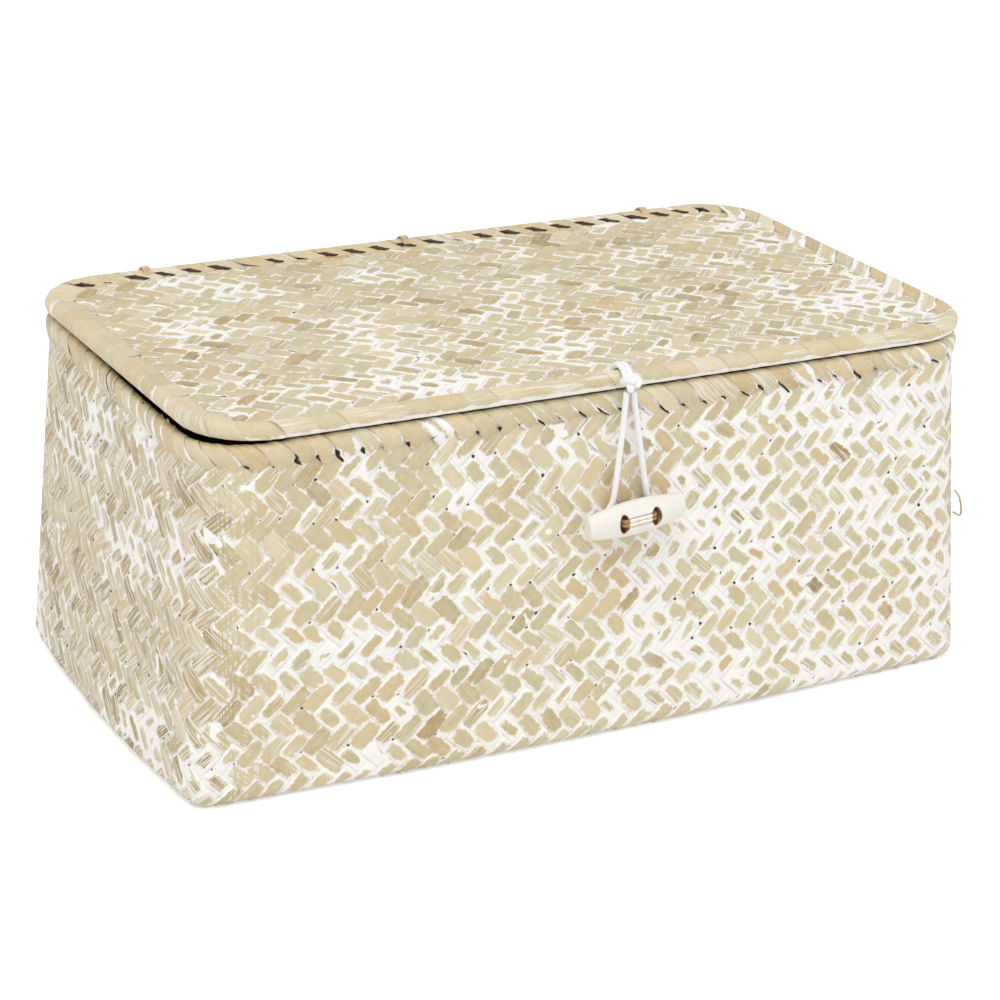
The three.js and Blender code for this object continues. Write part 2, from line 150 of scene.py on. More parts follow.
roll_low, roll_high = box_of("lid_binding")
wall_low, wall_high = box_of("outer_basket")
rim_low, rim_high = box_of("rim_binding_back")
ROLL_RADIUS = (roll_high[2] - roll_low[2]) / 2
ROLL_Z = (roll_high[2] + roll_low[2]) / 2
ROLL_HALF_LENGTH = roll_high[0] - ROLL_RADIUS
ROLL_HALF_WIDTH = roll_high[1] - ROLL_RADIUS
ROLL_CORNER = LID_CORNER - ROLL_RADIUS
WALL_TOP = wall_high[2]
WALL_STACK = OUTER_THICKNESS + CLEARANCE + LINING_THICKNESS
RIM_TOP = rim_high[2]
RIM_BOTTOM = rim_low[2]
RIM_HALF_WIDTH = rim_high[1] - ROLL_HALF_WIDTH
RIM_UP = RIM_BOTTOM - FOLD_RADIUS + FOLD_RADIUS * math.pi / 2
TOP_MAT = box_of("lid_top_mat")
BOTTOM_MAT = box_of("lid_bottom_mat")


def make_camera():
    azimuth = math.radians(CAMERA_AZIMUTH_DEGREES)
    elevation = math.radians(CAMERA_ELEVATION_DEGREES)
    roll = math.radians(CAMERA_ROLL_DEGREES)
    back = Vector((math.sin(azimuth) * math.cos(elevation), -math.cos(azimuth) * math.cos(elevation),
                   math.sin(elevation)))
    level = Vector((math.cos(azimuth), math.sin(azimuth), 0))
    upright = back.cross(level)
    right = level * math.cos(roll) + upright * math.sin(roll)
    up = upright * math.cos(roll) - level * math.sin(roll)
    data = bpy.data.cameras.new("camera")
    data.sensor_width = SENSOR_WIDTH_MM
    data.lens = FOCAL_PIXELS / FRAME_PIXELS * SENSOR_WIDTH_MM
    data.shift_x = -CENTRE_RIGHT_PIXELS / FRAME_PIXELS
    data.shift_y = CENTRE_DOWN_PIXELS / FRAME_PIXELS
    camera = bpy.data.objects.new("camera", data)
    turned = Matrix((right, up, back)).transposed().to_4x4()
    camera.matrix_world = Matrix.Translation(CAMERA_TARGET + back * CAMERA_DISTANCE) @ turned
    bpy.context.scene.collection.objects.link(camera)
    bpy.context.scene.camera = camera


# Materials


def linear(red, green, blue):
    """A colour as picked on a screen, from 0 to 255, as the renderer's linear colour."""
    shares = np.array([red, green, blue]) / 255
    low, high = shares / 12.92, ((shares + 0.055) / 1.055) ** 2.4
    return (*np.where(shares <= 0.04045, low, high), 1)


class Nodes:
    """Short ways to add shader nodes to one material, or to a world."""

    def __init__(self, name, owners=bpy.data.materials, shader="Principled BSDF"):
        self.owner = owners.new(name)
        self.owner.use_nodes = True
        self.tree = self.owner.node_tree
        self.shader = self.tree.nodes[shader]

    def add(self, kind, **settings):
        node = self.tree.nodes.new(kind)
        for key, value in settings.items():
            setattr(node, key, value)
        return node

    def feed(self, socket, value):
        if isinstance(value, bpy.types.NodeSocket):
            self.tree.links.new(value, socket)
        else:
            socket.default_value = value

    def look(self, name, value):
        self.feed(self.shader.inputs[name], value)

    def math(self, operation, *values):
        node = self.add("ShaderNodeMath", operation=operation)
        for socket, value in zip(node.inputs, values):
            self.feed(socket, value)
        return node.outputs[0]

    def times(self, first, second):
        return self.math("MULTIPLY", first, second)

    def plus(self, first, second):
        return self.math("ADD", first, second)

    def most(self, first, second):
        return self.math("MAXIMUM", first, second)

    def vary(self, base, noise, amount):
        """A number moved up and down by a noise, which runs from 0 to 1."""
        return self.math("MULTIPLY_ADD", self.math("SUBTRACT", noise, 0.5), amount, base)

    def distance(self, first, second):
        return self.math("SQRT", self.plus(self.times(first, first), self.times(second, second)))

    def seen(self):
        """1 for what the camera sees, straight or in a mirror or glass, and 0 for the light thrown."""
        path = self.add("ShaderNodeLightPath").outputs
        glassy = self.most(path["Is Glossy Ray"], path["Is Transmission Ray"])
        return self.most(path["Is Camera Ray"], glassy)

    def split(self, name):
        """The three numbers of a mesh attribute."""
        attribute = self.add("ShaderNodeAttribute", attribute_name=name)
        parts = self.add("ShaderNodeSeparateXYZ")
        self.feed(parts.inputs[0], attribute.outputs["Vector"])
        return parts.outputs[0], parts.outputs[1], parts.outputs[2]

    def join(self, x, y, z):
        node = self.add("ShaderNodeCombineXYZ")
        for socket, value in zip(node.inputs, (x, y, z)):
            self.feed(socket, value)
        return node.outputs[0]

    def noise(self, vector, scale, detail=2.0, roughness=0.5, distortion=0.0):
        node = self.add("ShaderNodeTexNoise")
        self.feed(node.inputs["Vector"], vector)
        self.feed(node.inputs["Scale"], scale)
        self.feed(node.inputs["Detail"], detail)
        self.feed(node.inputs["Roughness"], roughness)
        self.feed(node.inputs["Distortion"], distortion)
        return node.outputs["Fac"]

    def place(self):
        return self.add("ShaderNodeTexCoord").outputs["Object"]

    def step(self, value, low, high, to_low=0.0, to_high=1.0):
        node = self.add("ShaderNodeMapRange", interpolation_type="SMOOTHSTEP")
        for socket, given in zip(node.inputs, (value, low, high, to_low, to_high)):
            self.feed(socket, given)
        return node.outputs[0]

    def ramp(self, value, stops):
        node = self.add("ShaderNodeValToRGB")
        self.feed(node.inputs[0], value)
        elements = node.color_ramp.elements
        while len(elements) < len(stops):
            elements.new(0.5)
        for element, (position, colour) in zip(elements, stops):
            element.position = position
            element.color = colour
        return node.outputs["Color"]

    def mix(self, share, first, second):
        node = self.add("ShaderNodeMix", data_type="RGBA")
        sockets = {socket.identifier: socket for socket in node.inputs}
        self.feed(sockets["Factor_Float"], share)
        self.feed(sockets["A_Color"], first)
        self.feed(sockets["B_Color"], second)
        return next(socket for socket in node.outputs if socket.identifier == "Result_Color")

    def bump(self, height, strength, distance):
        node = self.add("ShaderNodeBump")
        self.feed(node.inputs["Height"], height)
        self.feed(node.inputs["Strength"], strength)
        self.feed(node.inputs["Distance"], distance)
        return node.outputs["Normal"]


LEAF_TONES = [
    (0.0, linear(158, 135, 92)),
    (0.08, linear(179, 159, 116)),
    (0.25, linear(199, 183, 143)),
    (0.55, linear(213, 199, 163)),
    (0.8, linear(223, 212, 180)),
    (1.0, linear(229, 212, 176)),
]
LINING_TONES = [
    (0.0, linear(172, 142, 94)),
    (0.3, linear(203, 180, 134)),
    (0.7, linear(214, 195, 150)),
    (1.0, linear(224, 208, 168)),
]
BINDING_TONES = [
    (0.0, linear(180, 150, 104)),
    (0.3, linear(206, 187, 146)),
    (0.7, linear(218, 203, 168)),
    (1.0, linear(230, 219, 192)),
]
PAINT = linear(250, 247, 242)
THIN_PAINT = linear(233, 225, 211)
# Dark brown painted as shade: on strips where they run under others and show through gaps, in holes and in
# recesses.
PAINTED_SHADE = linear(62, 45, 28)
WARM_LEAF = linear(220, 193, 144)
COOL_LEAF = linear(198, 192, 160)


def leaf_material(name, tones, paint_reach, paint_spread):
    """Dry leaf strips under a white wash that has gathered along their edges and ends, and in places in
    streaks and patches. paint_reach is how far in from the edge it comes, as a share of the strip, and
    paint_spread says how much more there is where the wash is heavy."""
    nodes = Nodes(name)
    across, along, tone = nodes.split("cell")
    fibre_x, fibre_y, seed = nodes.split("fibre")
    wash, streaks, hollow_shade = nodes.split("wash_and_shade")
    place = nodes.place()
    fine = nodes.noise(nodes.join(nodes.times(fibre_x, 1300.0),
                                  nodes.times(fibre_y, 60.0), seed), 1.0, 3.0, 0.6)
    broad = nodes.noise(nodes.join(nodes.times(fibre_x, 420.0),
                                   nodes.times(fibre_y, 70.0), seed), 1.0, 2.0)
    patches = nodes.step(nodes.noise(place, 24.0, 3.0, 0.55, 0.4), 0.48, 0.72)
    clouds = nodes.noise(place, 330.0, 4.0, 0.65, 0.6)
    lot = nodes.math("FRACT", nodes.times(tone, 37.7))
    shade = nodes.vary(tone, broad, 0.45)
    shade = nodes.vary(shade, fine, 0.4)
    leaf = nodes.ramp(shade, tones)
    kind = nodes.math("FRACT", nodes.times(tone, 91.3))
    leaf = nodes.mix(nodes.step(kind, 0.74, 0.8, 0.0, 0.3), leaf, WARM_LEAF)
    leaf = nodes.mix(nodes.step(kind, 0.26, 0.2, 0.0, 0.35), leaf, COOL_LEAF)
    wide = nodes.math("POWER", nodes.times(nodes.math("ABSOLUTE", across), 1.16), 4.0)
    long = nodes.math("POWER", nodes.math("ABSOLUTE", along), 4.0)
    edge = nodes.math("POWER", nodes.plus(wide, long), 1 / 4)
    edge = nodes.vary(edge, clouds, 1.0)
    edge = nodes.math("MULTIPLY_ADD", patches, paint_spread, edge)
    edge = nodes.math("MULTIPLY_ADD", wash, paint_spread, edge)
    painted = nodes.step(edge, 0.86 - paint_reach, 1.04 - paint_reach)
    lined = nodes.math("MULTIPLY_ADD", streaks, 0.04, fine)
    streaked = nodes.times(nodes.step(lined, 0.5, 0.6), nodes.step(nodes.plus(lot, streaks), 0.74, 0.78))
    if paint_reach > 0:
        drops = nodes.step(nodes.noise(place, 95.0, 2.0, 0.5, 0.5), 0.68, 0.71)
        edge = nodes.plus(edge, drops)
        painted = nodes.most(painted, drops)
    haze = nodes.times(nodes.step(clouds, 0.4, 0.75), 0.3)
    white = nodes.most(nodes.most(painted, streaked), haze)
    thick = nodes.times(nodes.step(edge, 0.88 - paint_reach, 1.2 - paint_reach),
                        nodes.step(clouds, 0.25, 0.5, 0.6, 1.0))
    paint = nodes.mix(thick, THIN_PAINT, PAINT)
    colour = nodes.mix(white, leaf, paint)
    # Painted shade: dark dots at some float corners stand in for the shade of the holes where four strips
    # meet.
    off_corner = nodes.times(nodes.math("SUBTRACT", across, 0.8), 0.58)
    up_corner = nodes.math("SUBTRACT", along, 0.9)
    away = nodes.distance(off_corner, up_corner)
    dots = nodes.times(nodes.step(away, 0.15, 0.07), nodes.step(lot, 0.26, 0.24))
    # Painted shade: a strip's colour turns dark brown where it runs on under the crossing strips and shows
    # through gaps.
    buried = nodes.vary(nodes.math("ABSOLUTE", along), clouds, 0.7)
    painted_gap_shade = nodes.most(nodes.step(buried, 1.25, 1.55), dots)
    # Painted shade: points that the strips mark as lying in a recess, by the third number carried with
    # their wash, are painted dark brown.
    hollow_shade = nodes.vary(hollow_shade, clouds, 0.6)
    colour = nodes.mix(nodes.most(painted_gap_shade, nodes.step(hollow_shade, 0.45, 0.6)), colour, PAINTED_SHADE)
    nodes.look("Base Color", colour)
    nodes.look("Roughness", nodes.step(white, 0.0, 1.0, 0.55, 0.85))
    nodes.look("Specular IOR Level", 0.3)
    relief = nodes.math("MULTIPLY_ADD", fine, 0.6, nodes.times(white, 0.5))
    relief = nodes.math("MULTIPLY_ADD", clouds, 0.5, relief)
    nodes.look("Normal", nodes.bump(relief, 0.35, 0.0004))
    return nodes.owner


def cord_material():
    """White braided elastic: a fine diamond of crossing yarns, with painted shade between them."""
    nodes = Nodes("white_elastic")
    turn, along, _ = nodes.split("fibre")
    first = nodes.math("SINE", nodes.plus(nodes.times(turn, 8.0), nodes.times(along, 7000.0)))
    second = nodes.math("SINE", nodes.math("SUBTRACT", nodes.times(turn, 8.0),
                                           nodes.times(along, 7000.0)))
    yarns = nodes.most(first, second)
    fuzz = nodes.noise(nodes.place(), 1800.0, 3.0, 0.6)
    # The white is painted a little darker between the yarns, as shade in the grooves.
    tone = nodes.plus(nodes.step(yarns, -0.2, 0.9, 0.0, 0.75), nodes.times(fuzz, 0.25))
    nodes.look("Base Color", nodes.ramp(tone, [
        (0.0, linear(232, 229, 230)),
        (0.45, linear(250, 248, 250)),
        (1.0, linear(254, 253, 254)),
    ]))
    nodes.look("Roughness", nodes.step(fuzz, 0.0, 1.0, 0.65, 0.9))
    nodes.look("Sheen Weight", 0.15)
    nodes.look("Normal", nodes.bump(yarns, 0.4, 0.0001))
    return nodes.owner


def wound_fibres(nodes, turn, along, wave):
    wound = nodes.join(nodes.math("MULTIPLY_ADD", along, wave, turn), nodes.times(along, 160.0), 0.0)
    return nodes.noise(wound, 5.0, 3.0, 0.6)


def twine_material(name, dark, light):
    """Twisted natural thread: fibres that wind round it, with lighter and darker stretches."""
    nodes = Nodes(name)
    turn, along, _ = nodes.split("fibre")
    fibres = wound_fibres(nodes, turn, along, 1400.0)
    stretches = nodes.noise(nodes.place(), 320.0, 2.0)
    tone = nodes.plus(nodes.times(fibres, 0.6), nodes.times(stretches, 0.4))
    nodes.look("Base Color", nodes.ramp(tone, [(0.3, dark), (0.7, light)]))
    nodes.look("Roughness", nodes.step(fibres, 0.2, 0.8, 0.7, 0.9))
    nodes.look("Normal", nodes.bump(fibres, 0.5, 0.0002))
    return nodes.owner


def toggle_twine_material():
    """The toggle's thread: cream between the holes, where the mark is 0, and painted brown inside them, as
    shade.
    """
    nodes = Nodes("toggle_twine")
    turn, along, mark = nodes.split("fibre")
    fibres = wound_fibres(nodes, turn, along, TWIST_WAVE)
    cream = nodes.ramp(fibres, [(0.3, linear(243, 235, 216)), (0.7, linear(250, 246, 236))])
    # Painted shade: the same thread turns brown where it runs through the holes.
    brown = nodes.ramp(fibres, [(0.3, linear(140, 98, 54)), (0.7, linear(206, 166, 112))])
    nodes.look("Base Color", nodes.mix(mark, cream, brown))
    nodes.look("Roughness", nodes.step(fibres, 0.2, 0.8, 0.6, 0.85))
    nodes.look("Normal", nodes.bump(fibres, 0.4, 0.0002))
    return nodes.owner


def toggle_material():
    """Ivory resin with faint long grain and a soft shine, with brown painted in and round its holes as the
    shade inside them.
    """
    nodes = Nodes("ivory_toggle")
    stretched = nodes.add("ShaderNodeMapping")
    nodes.feed(stretched.inputs["Vector"], nodes.place())
    nodes.feed(stretched.inputs["Scale"], (60.0, 500.0, 500.0))
    grain = nodes.noise(stretched.outputs[0], 1.0, 4.0, 0.6, 0.3)
    ivory_tone = nodes.ramp(grain, [
        (0.25, linear(233, 228, 216)),
        (0.5, linear(238, 235, 227)),
        (0.8, linear(240, 237, 232)),
    ])
    scuffs = nodes.noise(nodes.place(), 700.0, 3.0)
    parts = nodes.add("ShaderNodeSeparateXYZ")
    nodes.feed(parts.inputs[0], nodes.place())
    off = nodes.math("SUBTRACT", nodes.math("ABSOLUTE", parts.outputs[0]), HOLE_SPACING / 2)
    off = nodes.math("DIVIDE", off, HOLE_WIDTH / 2)
    up = nodes.math("DIVIDE", parts.outputs[2], HOLE_HEIGHT / 2)
    away = nodes.distance(off, up)
    away = nodes.vary(away, scuffs, 0.3)
    # Painted shade: brown on the holes' walls and in a ring round their openings.
    hole_shade = nodes.step(away, 1.14, 0.96)
    hole_shade_brown = nodes.ramp(scuffs, [(0.35, linear(124, 80, 38)), (0.7, linear(198, 154, 98))])
    nodes.look("Base Color", nodes.mix(hole_shade, ivory_tone, hole_shade_brown))
    nodes.look("Roughness", nodes.step(scuffs, 0.3, 0.7, 0.32, 0.45))
    nodes.look("Normal", nodes.bump(scuffs, 0.08, 0.0002))
    return nodes.owner


def wire_material():
    """Drawn steel wire with fine scratches and a few dull spots."""
    nodes = Nodes("drawn_wire")
    spots = nodes.noise(nodes.place(), 260.0, 4.0, 0.6)
    nodes.look("Base Color", nodes.ramp(spots, [
        (0.3, linear(128, 126, 120)),
        (0.7, linear(176, 175, 170)),
    ]))
    nodes.look("Metallic", 1.0)
    nodes.look("Roughness", nodes.step(spots, 0.3, 0.7, 0.3, 0.5))
    return nodes.owner


# Meshes made of rings


class Strips:
    """Closed strips and tubes, gathered into one mesh, with the numbers that their material reads."""

    def __init__(self):
        self.rings = []

    def add(self, rings, cell, fibre, wash_and_shade, closed=False):
        """rings is (rings, points round, 3). For each point cell is how far it lies across and along the
        strip's visible part, and the leaf's tone, fibre is its place on the strip and a seed, and the last
        array is the amount of wash, how likely it is to be streaked, and how much painted shade it gets in
        a recess.
        closed joins the last ring to the first, and otherwise both ends are capped."""
        middle = (len(rings) - 1) // 2
        centre = rings[middle].mean(0)
        spokes = rings[middle] - centre
        ahead = rings[(middle + 1) % len(rings)].mean(0) - centre
        winding = np.cross(spokes, np.roll(spokes, -1, axis=0)).sum(0) @ ahead
        self.rings.append((rings, cell, fibre, wash_and_shade, closed, winding < 0))

    def build(self, name, material):
        points, faces, base = [], [], 0
        for rings, _, _, _, closed, flipped in self.rings:
            count, round_count = rings.shape[:2]
            index = np.arange(count * round_count).reshape(count, round_count) + base
            lower = index if closed else index[:-1]
            upper = np.roll(index, -1, axis=0) if closed else index[1:]
            quads = np.stack([lower, np.roll(lower, -1, axis=1), np.roll(upper, -1, axis=1), upper], -1)
            quads = quads.reshape(-1, 4)
            caps = [] if closed else [index[0][::-1].tolist(), index[-1].tolist()]
            if flipped:
                quads = quads[:, ::-1]
                caps = [cap[::-1] for cap in caps]
            faces += quads.tolist() + caps
            points.append(rings.reshape(-1, 3))
            base += count * round_count
        mesh = bpy.data.meshes.new(name)
        mesh.from_pydata(np.concatenate(points), [], faces)
        for key, column in (("cell", 1), ("fibre", 2), ("wash_and_shade", 3)):
            values = np.concatenate([np.reshape(entry[column], -1) for entry in self.rings])
            attribute = mesh.attributes.new(key, "FLOAT_VECTOR", "POINT")
            attribute.data.foreach_set("vector", values.astype(np.float32))
        mesh.uv_layers.new(name="OFBake").data.foreach_set("uv", self.map().astype(np.float32))
        mesh.shade_smooth()
        mesh.materials.append(material)
        piece = bpy.data.objects.new(name, mesh)
        bpy.context.scene.collection.objects.link(piece)
        return piece

    def map(self):
        """The places of the faces' corners on a flat square, where each strip has a rectangle of its own,
        with its caps after its end."""
        sizes = []
        for rings, _, _, _, closed, _ in self.rings:
            wide = np.linalg.norm(np.roll(rings, -1, axis=1) - rings, axis=-1).mean(0)
            long = np.linalg.norm(np.roll(rings, -1, axis=0) - rings, axis=-1).mean(1)
            long = long if closed else long[:-1]
            sizes.append((np.concatenate([[0], wide.cumsum()]), np.concatenate([[0], long.cumsum()])))
        tall = max(wide[-1] for wide, _ in sizes) * 1.1
        room = [long[-1] + tall * 2 for _, long in sizes]
        order = np.argsort(room)[::-1]
        choices = []
        for across in np.geomspace(max(room), max(room) * 12, 60):
            starts, row, used = np.zeros((len(room), 2)), 0, 0
            for number in order:
                if used + room[number] > across:
                    row, used = row + 1, 0
                starts[number] = used, row * tall
                used += room[number]
            choices.append((max(across, (row + 1) * tall), across, (row + 1) * tall, starts))
        _, across, down, starts = min(choices, key=lambda choice: choice[0])
        corners = []
        for (rings, _, _, _, closed, flipped), (wide, long), (x, y) in zip(self.rings, sizes, starts):
            places = np.stack(np.broadcast_arrays(x + long[:, None], y + wide[None]), -1)
            quads = np.stack([places[:-1, :-1], places[:-1, 1:], places[1:, 1:], places[1:, :-1]], -2)
            quads = quads.reshape(-1, 4, 2)
            turn = np.arange(rings.shape[1]) / rings.shape[1] * math.tau
            ring = np.stack([np.cos(turn), np.sin(turn)], -1) * tall * 0.35
            after = () if closed else (0.5, 1.4)
            middles = [(x + long[-1] + tall * share, y + tall * 0.45) for share in after]
            caps = [ring[::-1] + middles[0], ring + middles[1]] if middles else []
            if flipped:
                quads = quads[:, ::-1]
                caps = [cap[::-1] for cap in caps]
            corners += [quads.reshape(-1), *(cap.reshape(-1) for cap in caps)]
        return np.concatenate(corners) / np.tile((across, down), sum(map(len, corners)) // 2)


def tube(strips, path, radius, sides, ripple=None, closed=False, mark=0.0):
    """A tube along a path of points. ripple gives the share of the radius at each ring and side, and mark
    is a number for each ring that the material may read."""
    path = np.asarray(path, float)
    ahead = np.roll(path, -1, axis=0) - np.roll(path, 1, axis=0)
    if not closed:
        ahead[0] = path[1] - path[0]
        ahead[-1] = path[-1] - path[-2]
    ahead /= np.linalg.norm(ahead, axis=1, keepdims=True)
    side = np.cross(ahead[0], (0.3, 0.2, 0.9))
    sides_at = []
    for direction in ahead:
        side = side - direction * (side @ direction)
        side = side / np.linalg.norm(side)
        sides_at.append(side)
    side = np.array(sides_at)
    other = np.cross(ahead, side)
    length = np.concatenate([[0], np.cumsum(np.linalg.norm(np.diff(path, axis=0), axis=1))])
    angle = np.arange(sides) / sides * math.tau
    reach = radius * np.ones((len(path), sides)) if ripple is None else radius * ripple(length, angle)
    rings = (path[:, None] + reach[..., None] * (side[:, None] * np.cos(angle)[None, :, None]
                                                 + other[:, None] * np.sin(angle)[None, :, None]))
    zeros = np.zeros((len(path), sides))
    marks = zeros + np.reshape(mark, (-1, 1))
    fibre = np.stack([zeros + angle, zeros + length[:, None], marks], -1)
    strips.add(rings, np.zeros_like(fibre), fibre, np.zeros_like(fibre), closed)


def smooth_path(points, spacing):
    """Points close together on a smooth curve through the given ones."""
    points = np.asarray(points, float)
    padded = np.vstack([2 * points[0] - points[1], points, 2 * points[-1] - points[-2]])
    found = []
    for i in range(1, len(padded) - 2):
        before, start, end, after = padded[i - 1:i + 3]
        steps = max(2, math.ceil(np.linalg.norm(end - start) / spacing))
        t = (np.arange(steps) / steps)[:, None]
        found.append(0.5 * (2 * start + (end - before) * t
                            + (2 * before - 5 * start + 4 * end - after) * t ** 2
                            + (3 * start - before - 3 * end + after) * t ** 3))
    return np.vstack([*found, points[-1:]])


BRAID_WAVE = 3500.0
TWIST_WAVE = 900.0


def braided(length, angle):
    """Six yarns each way round a cord."""
    wave = BRAID_WAVE * length[:, None]
    return 0.96 + 0.04 * np.maximum(np.cos(6 * angle[None] + wave), np.cos(6 * angle[None] - wave))


def twisted(length, angle):
    """Two plies twisted together."""
    return 0.8 + 0.2 * np.abs(np.cos(angle[None] - TWIST_WAVE * length[:, None]))


# Surfaces that the weave lies on


def smooth(share):
    share = np.clip(share, 0, 1)
    return share * share * (3 - 2 * share)


def sag_at(share):
    """How far the rim sags, as a share of the most, which is near the front left corner."""
    share = share % 1
    rise = smooth((share - SAG_START_SHARE) / (SAG_MIDDLE_SHARE - SAG_START_SHARE))
    return rise * smooth((SAG_END_SHARE - share) / (SAG_END_SHARE - SAG_MIDDLE_SHARE))


def round_outline(share, half_length, half_width, radius, bow_long=0.0, bow_short=0.0):
    """The point at a share of the way round a rectangle with round corners and sides that swell. Share 0
    is the middle of the right side, 0.25 the back, 0.5 the left and 0.75 the front."""
    quarter = np.floor(share * 4)
    part = share * 4 - quarter
    quarter = quarter.astype(int) % 4
    part = np.where(quarter % 2 == 0, part, 1 - part)
    short = half_width - radius
    long = half_length - radius
    arc = radius * math.pi / 2
    run = part * (short + arc + long)
    turn = (run - short) / np.maximum(radius, 1e-6)
    left = short + arc + long - run
    x = np.where(run < short, half_length + bow_short * (1 - (run / short) ** 2),
                 np.where(run < short + arc, long + radius * np.cos(turn), left))
    y = np.where(run < short, run,
                 np.where(run < short + arc, short + radius * np.sin(turn),
                          half_width + bow_long * (1 - (left / long) ** 2)))
    return np.where((quarter == 1) | (quarter == 2), -x, x), np.where(quarter >= 2, -y, y)


def wall_point(share, rise, depth):
    """A point a depth in from the basket's outer face, at a share of the way round and a length up from
    where the floor starts to fold."""
    bend = FOLD_RADIUS - depth
    angle = np.clip(rise / FOLD_RADIUS, 0, math.pi / 2)
    height = FOLD_RADIUS - bend * np.cos(angle) + np.maximum(rise - FOLD_RADIUS * math.pi / 2, 0)
    inset = FOLD_RADIUS - bend * np.sin(angle) + np.maximum(-rise, 0)
    lift = np.clip(height / WALL_TOP, 0, 1)
    swell = 1 - lift ** 2
    long_base = ROLL_HALF_LENGTH + ROLL_RADIUS + BASE_SPREAD
    wide_base = ROLL_HALF_WIDTH + ROLL_RADIUS - BASE_TUCK
    half_length = long_base + (ROLL_HALF_LENGTH + WALL_STACK / 2 - long_base) * lift
    half_width = wide_base + (ROLL_HALF_WIDTH + WALL_STACK / 2 - wide_base) * lift
    radius = BASE_CORNER + (ROLL_CORNER + WALL_STACK / 2 - BASE_CORNER) * lift
    x, y = round_outline(share, half_length - inset, half_width - inset, radius - inset,
                         LONG_BOW * swell, SHORT_BOW * swell * (1 + lift ** 2))
    bulge = RIM_BULGE * sag_at(share) * smooth((height - BULGE_FROM) / (WALL_TOP - BULGE_FROM))
    return np.stack([x - bulge, y, height], -1)


def lifted(point, outward=1):
    """Where a point lies that stands off a surface, which is a function of two lengths."""
    nudge = 0.0004

    def at(along, across, lift):
        here = point(along, across)
        aside = point(along + nudge, across) - here
        above = point(along, across + nudge) - here
        normal = np.cross(aside, above)
        normal /= np.linalg.norm(normal, axis=-1, keepdims=True)
        return here + normal * (outward * lift)[..., None]

    return at


def flat_surface(z, outward=1):
    def at(x, y, lift):
        return np.stack([x, y, z + outward * lift], -1)

    return at


def wave(phase):
    """How high a strip runs, from -1 to 1: over two crossings and then under two, with steep changes."""
    swing = np.cos(math.pi / 2 * (phase - FIRST_FLOAT))
    return swing / np.sqrt(swing ** 2 + 0.08) * math.sqrt(1.08)


def per_float(cycle, spread):
    """A number drawn for each float of a strip, and passed smoothly from one float to the next."""
    floats = np.floor(cycle).astype(int)
    first = floats.min() - 1
    values = random.normal(0, spread, floats.max() - first + 3)
    return np.interp(cycle - first, np.arange(len(values)) + 0.5, values)


